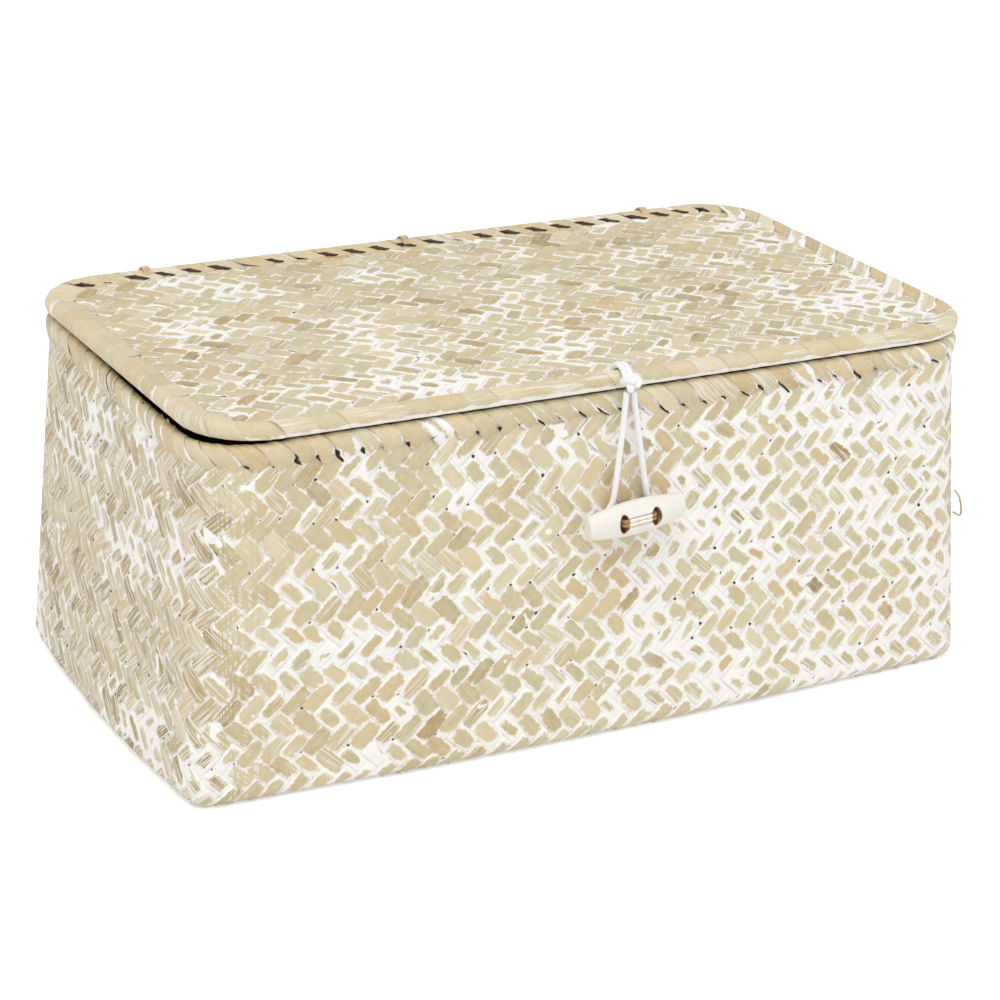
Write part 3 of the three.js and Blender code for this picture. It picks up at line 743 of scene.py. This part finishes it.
class Weave:
    """Two families of slanted strips that go over two and under two. A rising strip keeps its second
    lattice number and a falling one its first, so that the rows lie level."""

    def __init__(self, surface, pitch, rise, thickness, wash, tone, count=None):
        self.surface = surface
        self.pitch = pitch
        self.rise = rise
        self.thickness = thickness
        self.wash = wash
        self.tone = tone
        size = count or 160
        self.shift = {family: random.normal(0, 0.09, size) for family in ("rising", "falling")}
        self.length = size * pitch
        self.drifts = [(k, m, *random.uniform(0, math.tau, 2)) for k, m in ((9, 55), (14, -80), (5, 120))]
        self.strips = {"rising": Strips(), "falling": Strips()}

    def lattice(self, values, family):
        shifts = self.shift[family]
        size = len(shifts)
        whole = np.floor(values).astype(int)
        part = values - whole
        return values + shifts[whole % size] * (1 - part) + shifts[(whole + 1) % size] * part

    def place(self, first, second):
        """The lengths along and up at a point of the lattice, which is moved a little, unevenly, so that
        the rows waver."""
        first = self.lattice(first, "falling")
        second = self.lattice(second, "rising")
        around = (first + second) / 2 * self.pitch
        up = (first - second) / 2 * self.rise
        aside, above = 0, 0
        for turns, rate, start, other in self.drifts:
            phase = math.tau * turns * around / self.length + rate * up
            aside = aside + DRIFT * np.sin(phase + start)
            above = above + DRIFT * np.sin(phase + other)
        return around + aside, up + above

    def lay(self, family, number, start, end, taper=0.0, top=math.inf, samples=STRIP_SAMPLES):
        """One strip of a family, from one crossing number to another, both relative to its own. Past the
        crossing number top it lies deeper beneath the rim's folds, and its colour there is painted dark as
        shade."""
        steps = max(4, round((end - start) * samples))
        own = np.linspace(start, end, steps + 1)[:, None]
        share = np.array([-1.0, -0.7, 0.0, 0.7, 1.0, 0.94, -0.94])[None]
        height = np.array([0.05, 0.13, 0.16, 0.13, 0.05, -0.08, -0.08])[None]
        rising = family == "rising"
        middle = FIRST_FLOAT if rising else FIRST_FLOAT + PERIOD / 2
        cycle = (own - middle + PERIOD / 2) / PERIOD
        floats = np.floor(cycle).astype(int)
        floats -= floats.min()
        count = floats.max() + 1
        within = (cycle - np.floor(cycle)) * PERIOD - PERIOD / 2
        slits = random.uniform(0, 1, count) < (0.02 if rising else 0.09)
        slit = np.where(slits, random.choice([-1, 1], count), 0)[floats]
        slit = slit * np.clip(1.2 - 2 * np.abs(within - random.uniform(-0.5, 0.5, count)[floats]), 0, 1)
        width = STRIP_WIDTH_SHARE + per_float(cycle, 0.05) - 0.3 * np.abs(slit)
        width *= 1 - taper * np.clip(1 - (end - own), 0, 1)
        aside = number + per_float(cycle, 0.05) + 0.1 * slit + 0.5 * share * width
        first = number + own + 0 * share if rising else aside
        second = aside if rising else number - own + 0 * share
        around, up = self.place(first, second)
        side = 1.0 if rising else -1.0
        swing = side * wave(own) * (0.12 + per_float(cycle, 0.02))
        # Past top the strip sinks, and the same share paints its colour dark brown as shade beneath the
        # rim's folds.
        sunk = np.clip((own - top) * 4, 0, 1)
        lift = (swing + height - 0.35 * sunk) * self.thickness
        rings = self.surface(around, up, lift)
        drawn = random.uniform(0, 1, count)
        tones = np.where(drawn < 0.008, 0.12, random.normal(self.tone, 0.13, count))
        tones = np.clip(tones + random.normal(0, 0.08), 0.01, 0.99)[floats]
        wash, streaks = self.wash(rings)
        wash = wash + random.exponential(0.2, count)[floats]
        across = np.where(height < 0, 1.0, share)
        held = np.clip(np.minimum(own - start, end - own) / 1.2, 0, 1)
        cell = np.stack([across + 0 * lift, within * held + 0 * lift, tones - 0.4 * streaks], -1)
        length = math.hypot(self.pitch, self.rise) / 2
        fibre = np.stack([aside * length, own * length + 0 * lift,
                          0 * lift + number * 3.7 + (0 if rising else 500)], -1)
        self.strips[family].add(rings, cell, fibre, np.stack([wash, streaks, sunk + 0 * lift], -1))


def woven_wall(depth, pitch, thickness, wash, tone, folds, outward=1, samples=STRIP_SAMPLES):
    """Strips all round the walls, from a little way in under the floor up into the rim. folds says whether
    the rim's folds carry on from the last floats of the falling strips."""
    here = wall_point(np.linspace(0, 1, 2000, endpoint=False), np.full(2000, WALL_TOP / 2), depth)
    round_length = np.linalg.norm(np.roll(here, -1, axis=0) - here, axis=1).sum()
    count = round(round_length / pitch)
    pitch = round_length / count
    rise = pitch * RISE_SHARE
    surface = lifted(lambda around, up: wall_point(around / round_length, up, depth), outward)
    weave = Weave(surface, pitch, rise, thickness, wash, tone, count)
    end = 2 * (RIM_UP + RIM_OVERLAP) / rise
    weave.last_float = math.floor((end - FIRST_FLOAT - 1) / PERIOD) * PERIOD + FIRST_FLOAT + 1
    top = weave.last_float + 0.2 if folds else math.inf
    for number in range(count):
        for family in ("rising", "falling"):
            weave.lay(family, number, -2 * FLOOR_TUCK / rise, end, 0.3, top, samples)
    return weave


def woven_mat(surface, pitch, thickness, wash, tone, half_length, half_width, corner, swell=0.0,
              samples=STRIP_SAMPLES):
    """Strips that fill a flat rectangle with round corners, whose long sides swell by a length."""
    rise = pitch * RISE_SHARE
    weave = Weave(surface, pitch, rise, thickness, wash, tone)
    reach = math.ceil(half_length / pitch + half_width / rise) + 1
    own = np.arange(-2 * reach, 2 * reach, 1 / 12)
    for family, slope in (("rising", 1), ("falling", -1)):
        for number in range(-reach, reach + 1):
            around, up = (2 * number + slope * own) / 2 * pitch, own / 2 * rise
            wide = half_width + swell * np.clip(1 - (around / half_length) ** 2, 0, 1)
            past_x = np.maximum(np.abs(around) - (half_length - corner), 0)
            past_y = np.maximum(np.abs(up) - (wide - corner), 0)
            inside = own[np.hypot(past_x, past_y) <= corner]
            if len(inside) > PERIOD * 3:
                weave.lay(family, number, inside[0], inside[-1], samples=samples)
    return weave


def wall_wash(points):
    """The wash on the walls is heaviest low on the front's right half, and light and streaked on the
    ends."""
    front = np.clip(-points[..., 1] / ROLL_HALF_WIDTH, 0, 1) ** 4
    along = points[..., 0] / ROLL_HALF_LENGTH
    up = points[..., 2] / WALL_TOP
    end = np.clip(np.abs(along), 0, 1) ** 24
    return -0.2 - 0.12 * end + front * (0.3 + 0.24 * along - 0.2 * up), 0.75 * end


def lid_wash(points):
    right, back = points[..., 0] / ROLL_HALF_LENGTH, points[..., 1] / ROLL_HALF_WIDTH
    return -0.29 + 0.03 * right - 0.18 * back, 0 * right


def no_wash(points):
    return 0 * points[..., 0], 0 * points[..., 0]


def finish_weave(weave, name, material, body, node):
    for family, strips in weave.strips.items():
        piece = strips.build(f"{name}_{family}", material)
        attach(piece, body)
        if node:
            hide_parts(node)


# Ribbons that lie across the line round the rim and the lid


STRAIGHT_SHORT = ROLL_HALF_WIDTH - ROLL_CORNER
STRAIGHT_LONG = ROLL_HALF_LENGTH - ROLL_CORNER
LINE_LENGTH = 4 * (STRAIGHT_SHORT + STRAIGHT_LONG + ROLL_CORNER * math.pi / 2)
TO_DIAGONAL = (STRAIGHT_SHORT + ROLL_CORNER * math.pi / 4) / LINE_LENGTH


RIBBON_SHARES = np.array([-1.0, -0.7, 0.0, 0.7, 1.0, 0.85, -0.85])[None]
RIBBON_HEIGHTS = np.array([0.0, 0.4, 0.5, 0.4, 0.1, -0.4, -0.4])[None] * RIBBON * 0.7


def on_line(around, out, z):
    """A point at a length round the line, a length out from it and a height."""
    nudge = 0.0003
    x, y = round_outline(around / LINE_LENGTH % 1, ROLL_HALF_LENGTH, ROLL_HALF_WIDTH, ROLL_CORNER)
    ahead_x, ahead_y = round_outline((around + nudge) / LINE_LENGTH % 1, ROLL_HALF_LENGTH,
                                     ROLL_HALF_WIDTH, ROLL_CORNER)
    step = np.hypot(ahead_x - x, ahead_y - y)
    return np.stack([x + (ahead_y - y) / step * out, y - (ahead_x - x) / step * out, z], -1)


def wrap(strips, around, path, lean, width, tilt, tone, wash, hollow_shade, smeared):
    """A ribbon across the line, along a path of outward lengths and heights. It leans along the line as
    it goes, and one edge of it stands up by the tilt, over the next ribbon's low one. smeared turns the
    fibres and the wash along the line."""
    ahead = np.gradient(path, axis=0)
    ahead /= np.linalg.norm(ahead, axis=1, keepdims=True)
    share = RIBBON_SHARES
    height = RIBBON_HEIGHTS + (share + 1) / 2 * tilt
    along = around + lean[:, None] + share * width[:, None] / 2
    out = path[:, :1] - ahead[:, 1:] * height
    z = path[:, 1:] + ahead[:, :1] * height
    rings = on_line(along, out, z)
    length = np.concatenate([[0], np.cumsum(np.linalg.norm(np.diff(path, axis=0), axis=1))])[:, None]
    zeros = np.zeros_like(z)
    cell = np.stack([share * (0.3 if smeared else 0.8) + zeros, zeros, tone + zeros], -1)
    places = (length + zeros, along, zeros) if smeared else (share * width[:, None] / 2, length + zeros,
                                                             around * 900 + zeros)
    # The third number is painted shade, which the leaf material turns dark brown.
    wash_and_shade = np.stack([wash[:, None] + zeros, zeros + (0.3 if smeared else 0), hollow_shade], -1)
    strips.add(rings, cell, np.stack(places, -1), wash_and_shade)


def side_of(share):
    share = share % 1
    if share < TO_DIAGONAL or share > 1 - TO_DIAGONAL:
        return "right"
    if share < 0.5 - TO_DIAGONAL:
        return "back"
    return "left" if share < 0.5 + TO_DIAGONAL else "front"


def make_rim(weave):
    """The falling strips of the wall go on up, fold over the rim and come down inside it. Each has its
    lower end under a rising strip."""
    radius = RIM_HALF_WIDTH - RIBBON / 2
    crown = RIM_TOP - RIM_HALF_WIDTH
    turn = np.linspace(math.pi, 0, 15)
    run_on = 0.01
    spare = 0.007
    over = zip(radius * np.cos(turn), crown + radius * np.sin(turn))
    path = np.array([(-radius, RIM_BOTTOM - spare), *over, (radius, RIM_BOTTOM - run_on)])
    length = np.concatenate([[0], np.cumsum(np.linalg.norm(np.diff(path, axis=0), axis=1))]) - spare
    flank = length[-1] - run_on

    def point(around, down):
        share = around / weave.length
        past = down - flank
        part = smooth((past + 0.001) / 0.004)[..., None]
        folded = on_line(share * LINE_LENGTH, np.interp(down, length, path[:, 0]),
                         np.interp(down, length, path[:, 1]))
        folded[..., 0] -= RIM_BULGE * sag_at(share)
        spot = folded * (1 - part) + wall_point(share, RIM_UP - past, FOLD_DEPTH) * part
        spot[..., 2] -= RIM_SAG * sag_at(share) * (1 - smooth(past / SAG_FADE))
        return spot

    surface = lifted(point, -1)
    sides = {side: Strips() for side in ("right", "back", "left", "front")}
    top = 2 * (RIM_UP + flank) / weave.rise
    last = weave.last_float
    shown, tucked = np.linspace(top, last + 0.6, 24), np.linspace(last + 0.4, last - 0.45, 5)
    own = np.concatenate([shown, tucked])[:, None]
    for number in range(len(weave.shift["falling"])):
        width = random.normal(1.2, 0.03)
        width = width - random.choice([0.1, 0.3, 0.5]) * smooth((last + 0.9 - own) / 1.1)
        aside = number + random.normal(0, 0.03) + RIBBON_SHARES * width / 2
        around, up = weave.place(aside, number - own + 0 * RIBBON_SHARES)
        height = RIBBON_HEIGHTS + (RIBBON_SHARES + 1) / 2 * random.uniform(0.0001, 0.0003)
        # Some ribbons get a notch near the lower end, and one edge there is painted dark brown as shade,
        # so that it reads as a hole; less so on the left.
        gap = np.abs(own - last - random.uniform(0.5, 0.9)) / random.choice([0.05, 0.2, 0.4, 0.6])
        hollow_shade = np.clip(1.6 - gap, 0, 1) * np.clip(-RIBBON_SHARES * 1.8 - 0.8, 0, 1)
        height = height - END_DIP * smooth((last + 0.35 - own) / 0.75) - NOTCH_DIP * hollow_shade
        rings = surface(around, flank + RIM_UP - up, height)
        share = around[len(own) // 2, 2] / weave.length
        if side_of(share) == "left":
            hollow_shade = hollow_shade * 0.3
        zeros = 0 * around
        tone = np.clip(random.normal(0.5, 0.16), 0.02, 0.98)
        wash = random.exponential(0.25) - 0.35 + 0.15 * math.cos(math.tau * share)
        wash = wash + 0.7 * smooth((last + 2.2 - own) / 2.2)
        reach = math.hypot(weave.pitch, weave.rise) / 2
        cell = np.stack([RIBBON_SHARES * 0.8 + zeros, zeros, tone + zeros], -1)
        fibre = np.stack([aside * reach, own * reach + zeros, number * 3.7 + zeros], -1)
        sides[side_of(share)].add(rings, cell, fibre, np.stack([wash + zeros, zeros, hollow_shade + zeros], -1))
    for side, strips in sides.items():
        piece = strips.build(f"rim_folds_{side}", binding_leaf)
        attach(piece, "basket")
        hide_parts(f"rim_binding_{side}")


def make_rim_wire():
    """The wire inside the rim's folds, which sags and stands out with them."""
    low, high = box_of("rim_wire")
    share = np.linspace(0, 1, 481)[:-1]
    strips = Strips()
    path = on_line(share * LINE_LENGTH, 0, (low[2] + high[2]) / 2 - RIM_SAG * sag_at(share))
    path[:, 0] -= RIM_BULGE * sag_at(share)
    tube(strips, path, WIRE_RADIUS, 12, closed=True)
    piece = strips.build("rim_wire_ring", drawn_wire)
    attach(piece, "basket")
    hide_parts("rim_wire")


def make_roll():
    """Ribbons wound round the lid's edge, in over the mats by a length that differs by side."""
    radius = ROLL_RADIUS - RIBBON
    turn = np.radians(np.linspace(-32, 208, 23))
    circle = list(zip(radius * np.sin(turn), ROLL_Z + radius * np.cos(turn)))
    count = round(LINE_LENGTH / ROLL_PITCH)
    strips = Strips()
    for number in range(count):
        around = (number + random.normal(0, 0.05)) * LINE_LENGTH / count
        side = side_of(around / LINE_LENGTH)
        odd = number % 2
        reach = {"front": 0.0012, "left": 0.0060, "back": 0.0052, "right": 0.0025 + 0.0035 * odd}[side]
        reach *= random.uniform(0.8, 1.2)
        middle = (TOP_MAT[0][2] + TOP_MAT[1][2]) / 2
        rest = middle + MAT_CROWN
        edge, drop = circle[0][0] - ROLL_GAP, 0.6 * (circle[0][1] - rest)
        inner = [(edge - reach, middle)]
        inner += [(edge - reach * share, rest + drop * (1 - share) ** 2) for share in (0.9, 0.6, 0.25)]
        path = np.array(inner + circle + [(-0.0036, BOTTOM_MAT[0][2] - RIBBON / 2)])
        length = np.concatenate([[0], np.cumsum(np.linalg.norm(np.diff(path, axis=0), axis=1))])
        slope = {"front": 0.7, "left": 0.5, "back": 0.8, "right": 1.1}[side]
        lean = slope * np.minimum(length - length[8], 0.012)
        width = np.full(len(path), ROLL_PITCH * (1.3 if side in ("front", "left") else 1.2))
        hollow_shade = np.zeros((len(path), RIBBON_SHARES.size))
        if side == "back":
            width[:4] *= np.array([0.5, 0.6, 0.8, 0.95])
            # On most back ribbons the raised edge near the inner end is painted dark brown as shade, for
            # the slit under it.
            if random.uniform() < 0.75:
                hollow_shade[1:4, 3:5] = 1
        mean = {"front": 0.68, "left": 0.6, "back": 0.5, "right": 0.3 + 0.3 * odd}[side]
        tone = np.clip(random.normal(mean, 0.14), 0.02, 0.98)
        wash = {"front": -0.2, "left": 0.0, "back": 0.1, "right": -0.3 + 1.1 * odd}[side]
        low = np.clip((ROLL_Z + 0.0006 - path[:, 1]) / 0.0022, 0, 1) * (path[:, 0] > 0)
        wash = random.normal(wash, 0.15) + low * (2.4 if side == "front" else 0)
        tilt = {"front": 0.0001, "left": 0.0001, "back": 0.0002, "right": 0.0002}[side]
        wrap(strips, around, path, lean, width, tilt, tone, wash, hollow_shade, side == "front")
    piece = strips.build("lid_roll", binding_leaf)
    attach(piece, "lid")
    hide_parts("lid_binding")


# Cord, knots, toggle and threads


def make_closure():
    path = smooth_path(CORD_ROUTE, 0.0003)
    strips = Strips()
    tube(strips, path, CORD_DIAMETER / 2, 24, braided)
    piece = strips.build("closure_loop_cord", white_elastic)
    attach(piece, "loop")
    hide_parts("closure_loop")


def knot_path(centre, half_size, turn):
    """A trefoil in a box of that half size, turned about the way it faces."""
    t = np.linspace(0, math.tau, 121)[:-1] + turn
    x = (np.sin(t) + 2 * np.sin(2 * t)) / 3
    z = (np.cos(t) - 2 * np.cos(2 * t)) / 3
    y = -np.sin(3 * t)
    return np.asarray(centre) + np.stack([x, y, z], -1) * half_size


def make_knots():
    low, high = box_of("loop_knot")
    centre = (low + high) / 2
    strips = Strips()
    first = knot_path(centre, KNOT_REACH, 0.2)
    second = knot_path(centre + (0.0003, 0.0, -0.0002), KNOT_REACH * (0.8, 1.1, 0.85), 1.3)
    for path in (first, second):
        tube(strips, path, KNOT_CORD, 18, braided, closed=True)
    piece = strips.build("loop_knot_turns", white_elastic)
    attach(piece, "lid")
    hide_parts("loop_knot")

    low, high = box_of("stopper_knot")
    strips = Strips()
    room = (high - low) / 2 - KNOT_CORD
    path = knot_path((low + high) / 2, room * (1.0, 0.8, 1.0), 0.5)
    tube(strips, path, KNOT_CORD, 18, braided, closed=True)
    piece = strips.build("stopper_knot_turns", white_elastic)
    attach(piece, "lid")
    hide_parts("stopper_knot")


def make_tails():
    """Both tails, from the stopper knot up through the mats and over the roll to the knot."""
    low, high = box_of("loop_tails")
    middle = (low[0] + high[0]) / 2
    reach = high[2] - ROLL_Z - CORD_DIAMETER / 2
    turn = np.linspace(0, 2.98, 30)
    strips = Strips()
    for side in (-1, 1):
        x = middle + side * (CORD_DIAMETER / 2 - 0.0001)
        over = [(x, reach * math.cos(a) - ROLL_HALF_WIDTH, reach * math.sin(a) + ROLL_Z) for a in turn]
        path = [(x, reach - ROLL_HALF_WIDTH, ROLL_Z - 0.0035), *over]
        tube(strips, smooth_path(path, 0.0004), CORD_DIAMETER / 2, 20, braided)
    piece = strips.build("loop_tail_cords", white_elastic)
    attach(piece, "lid")
    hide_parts("loop_tails")


def plain_solid(name, rings):
    strips = Strips()
    blank = np.zeros_like(rings)
    strips.add(rings, blank, blank, blank)
    return strips.build(name, ivory)


def toggle_place():
    """The toggle's middle, and how its own axes are turned and placed."""
    low, high = box_of("toggle")
    centre = (low + high) / 2
    return centre, Matrix.Translation(centre) @ Matrix.Rotation(-math.radians(TOGGLE_TILT_DEGREES), 4, "Y")


def barrel_rings():
    """Rings along the toggle's barrel, which swells in the middle and has round edges at its ends."""
    half, end = TOGGLE_LENGTH / 2, TOGGLE_END / 2
    share = np.linspace(-1, 1, 41)
    round_edge = np.linspace(0, math.pi / 2, 6)
    x = (half - TOGGLE_EDGE) * share
    reach = end + (TOGGLE_HEIGHT / 2 - end) * (1 - share ** 2)
    edge_x = half - TOGGLE_EDGE + TOGGLE_EDGE * np.sin(round_edge[1:])
    edge_reach = end - TOGGLE_EDGE + TOGGLE_EDGE * np.cos(round_edge[1:])
    x = np.concatenate([-edge_x[::-1], x, edge_x])
    reach = np.concatenate([edge_reach[::-1], reach, edge_reach])
    angle = np.arange(72) / 72 * math.tau
    y = reach[:, None] * np.cos(angle) * TOGGLE_DEPTH / TOGGLE_HEIGHT
    return np.stack([x[:, None] + 0 * angle, y, reach[:, None] * np.sin(angle)], -1)


def toggle_cutters():
    """Solids that are taken out of the barrel: two holes and the channel between them."""
    cutters = []
    angle = np.arange(40) / 40 * math.tau
    deep = np.array([-1.0, 1.0])[:, None] * TOGGLE_DEPTH
    for side in (-1, 1):
        x = side * HOLE_SPACING / 2 + HOLE_WIDTH / 2 * np.cos(angle) + 0 * deep
        z = HOLE_HEIGHT / 2 * np.sin(angle) + 0 * deep
        cutters.append(plain_solid("hole", np.stack([x, deep + 0 * x, z], -1)))
    along = np.array([-1.0, 1.0])[:, None] * HOLE_SPACING / 2
    y = CHANNEL_FLOOR - 0.0012 + 0.0012 * np.cos(angle) * (np.cos(angle) > 0)
    y = y + 0.004 * np.minimum(np.cos(angle), 0)
    z = CHANNEL_HEIGHT / 2 * np.sin(angle)
    cutters.append(plain_solid("channel", np.stack([along + 0 * y, y + 0 * along, z + 0 * along], -1)))
    return cutters


def make_toggle():
    barrel = plain_solid("toggle_barrel", barrel_rings())
    cutters = toggle_cutters()
    for tool in cutters:
        modifier = barrel.modifiers.new("cut", "BOOLEAN")
        modifier.object = tool
        modifier.solver = "EXACT"
    bevel = barrel.modifiers.new("worn_edges", "BEVEL")
    bevel.width = 0.0004
    bevel.segments = 3
    bevel.limit_method = "ANGLE"
    bevel.angle_limit = math.radians(40)
    bpy.context.view_layer.update()
    shown = barrel.evaluated_get(bpy.context.evaluated_depsgraph_get())
    mesh = bpy.data.meshes.new_from_object(shown)
    for unwanted in (*cutters, barrel):
        bpy.data.objects.remove(unwanted)
    mesh.shade_smooth()
    mesh.set_sharp_from_angle(angle=math.radians(50))
    piece = bpy.data.objects.new("toggle_barrel", mesh)
    bpy.context.scene.collection.objects.link(piece)
    piece.matrix_world = toggle_place()[1]
    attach(piece, "toggle")
    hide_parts("toggle")


def make_toggle_thread():
    """Two strands side by side, through one hole, along the channel and back through the other hole."""
    centre, place = toggle_place()
    toggle_back, thread_back = box_of("toggle")[1][1], box_of("toggle_thread")[1][1]
    front = CHANNEL_FLOOR - THREAD_RADIUS
    back = thread_back - THREAD_RADIUS - centre[1]
    share = np.linspace(0, 1, 301)[:-1]
    x, y = round_outline(share, HOLE_SPACING / 2, (back - front) / 2, THREAD_BEND)
    path = np.stack([x, y + (back + front) / 2, 0 * x], -1)
    # 1 where the thread runs inside a hole, where its colour is painted brown as shade.
    inside = (np.abs(np.abs(x) - HOLE_SPACING / 2) < HOLE_WIDTH / 2) * 1.0
    path = path @ np.array(place.to_3x3()).T + np.array(place.translation)
    strips = Strips()
    for rise in (-STRAND_RADIUS, STRAND_RADIUS):
        tube(strips, path + (0, 0, rise), STRAND_RADIUS, 14, twisted, closed=True, mark=inside)
    piece = strips.build("toggle_twine", toggle_twine)
    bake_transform(piece)
    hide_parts("toggle_thread")


def make_lashings():
    """Four turns of twine round the lid's roll and the rim at each of three places."""
    for number in (1, 2, 3):
        low, high = box_of(f"hinge_lashing_{number}")
        middle = (low[0] + high[0]) / 2
        reach = ROLL_RADIUS + 0.0006
        low_z = low[2] + (high[1] - low[1]) / 2
        strips = Strips()
        for turn in range(4):
            share = np.linspace(0, 1, 161)[:-1]
            across, up = round_outline(share, reach, (ROLL_Z - low_z) / 2 + reach, reach - 1e-5)
            x = middle + (turn - 1.5) * 2.1 * LASHING_RADIUS + 0.0007 * np.sin(share * math.tau)
            path = np.stack([x, across + ROLL_HALF_WIDTH, up + (ROLL_Z + low_z) / 2], -1)
            tube(strips, path, LASHING_RADIUS, 14, twisted, closed=True)
        piece = strips.build(f"hinge_turns_{number}", lashing_twine)
        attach(piece, "basket")
        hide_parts(f"hinge_lashing_{number}")


def make_stray_fibre():
    """A loose end of leaf that sticks out low on the right front corner."""
    strips = Strips()
    tube(strips, smooth_path(STRAY_ROUTE, 0.0004), STRAY_RADIUS, 10)
    piece = strips.build("stray_leaf_end", binding_leaf)
    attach(piece, "basket")


make_camera()

bpy.context.scene.view_settings.view_transform = "Standard"

woven_leaf = leaf_material("white_washed_leaf", LEAF_TONES, 0.05, 0.5)
lining_leaf = leaf_material("plain_leaf", LINING_TONES, -0.9, 0.2)
binding_leaf = leaf_material("folded_leaf", BINDING_TONES, 0.0, 0.5)
white_elastic = cord_material()
lashing_twine = twine_material("straw_twine", linear(200, 176, 130), linear(232, 218, 184))
toggle_twine = toggle_twine_material()
drawn_wire = wire_material()
ivory = toggle_material()

make_closure()
outer_walls = woven_wall(OUTER_THICKNESS / 2, OUTER_PITCH, OUTER_THICKNESS, wall_wash, 0.47, True)
finish_weave(outer_walls, "basket_walls", woven_leaf, "basket", "outer_basket")
lining_walls = woven_wall(WALL_STACK - LINING_THICKNESS / 2, LINING_PITCH, LINING_THICKNESS, no_wash, 0.54,
                          False, -1, 2)
finish_weave(lining_walls, "lining_walls", lining_leaf, "basket", "inner_lining")

floor_length = ROLL_HALF_LENGTH + ROLL_RADIUS + BASE_SPREAD - FOLD_RADIUS
floor_width = ROLL_HALF_WIDTH + ROLL_RADIUS - BASE_TUCK - FOLD_RADIUS
floor_corner = BASE_CORNER - FOLD_RADIUS
outer_floor = woven_mat(flat_surface(OUTER_THICKNESS / 2, -1), OUTER_PITCH, OUTER_THICKNESS, no_wash, 0.5,
                        floor_length, floor_width, floor_corner, LONG_BOW, 2)
finish_weave(outer_floor, "basket_floor", woven_leaf, "basket", None)
lining_floor = woven_mat(flat_surface(WALL_STACK - LINING_THICKNESS / 2), LINING_PITCH, LINING_THICKNESS,
                         no_wash, 0.54, floor_length, floor_width, floor_corner, LONG_BOW, 2)
finish_weave(lining_floor, "lining_floor", lining_leaf, "basket", None)
lid_top = woven_mat(flat_surface((TOP_MAT[0][2] + TOP_MAT[1][2]) / 2), OUTER_PITCH,
                    TOP_MAT[1][2] - TOP_MAT[0][2], lid_wash, 0.37, TOP_MAT[1][0], TOP_MAT[1][1],
                    ROLL_CORNER)
finish_weave(lid_top, "lid_top", woven_leaf, "lid", "lid_top_mat")
lid_bottom = woven_mat(flat_surface((BOTTOM_MAT[0][2] + BOTTOM_MAT[1][2]) / 2, -1), LINING_PITCH,
                       BOTTOM_MAT[1][2] - BOTTOM_MAT[0][2], no_wash, 0.54, BOTTOM_MAT[1][0],
                       BOTTOM_MAT[1][1], ROLL_CORNER, samples=2)
finish_weave(lid_bottom, "lid_bottom", lining_leaf, "lid", "lid_bottom_mat")
make_rim(outer_walls)
make_rim_wire()
make_roll()
make_knots()
make_tails()
make_toggle()
make_toggle_thread()
make_lashings()
make_stray_fibre()


def make_floor():
    bpy.ops.mesh.primitive_plane_add(size=12)
    floor = bpy.context.object
    floor.name = "floor"
    nodes = Nodes("pale_floor")
    nodes.look("Base Color", linear(244, 244, 244))
    nodes.look("Roughness", 0.95)
    nodes.look("Emission Color", (1, 1, 1, 1))
    nodes.look("Emission Strength", nodes.times(nodes.seen(), 0.4))
    floor.data.materials.append(nodes.owner)


def make_world():
    """A white studio, which lights the box less strongly than it looks."""
    nodes = Nodes("studio", bpy.data.worlds, "Background")
    nodes.look("Color", (1, 1, 1, 1))
    nodes.look("Strength", nodes.step(nodes.seen(), 0.0, 1.0, 0.64, 1.0))
    bpy.context.scene.world = nodes.owner


def add_lamp(name, place, size, watts):
    data = bpy.data.lights.new(name, "AREA")
    data.size = size
    data.energy = watts
    lamp = bpy.data.objects.new(name, data)
    lamp.location = place
    lamp.rotation_euler = (CAMERA_TARGET - Vector(place)).to_track_quat("-Z", "Y").to_euler()
    bpy.context.scene.collection.objects.link(lamp)


make_floor()
make_world()
add_lamp("key", (-0.7, -1.3, 2.9), 1.6, 36)
add_lamp("fill", (1.6, -2.2, 1.2), 1.6, 8)
add_lamp("side", (-2.6, -0.6, 1.2), 1.6, 7)

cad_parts["lid_wire"].data.materials[0] = drawn_wire
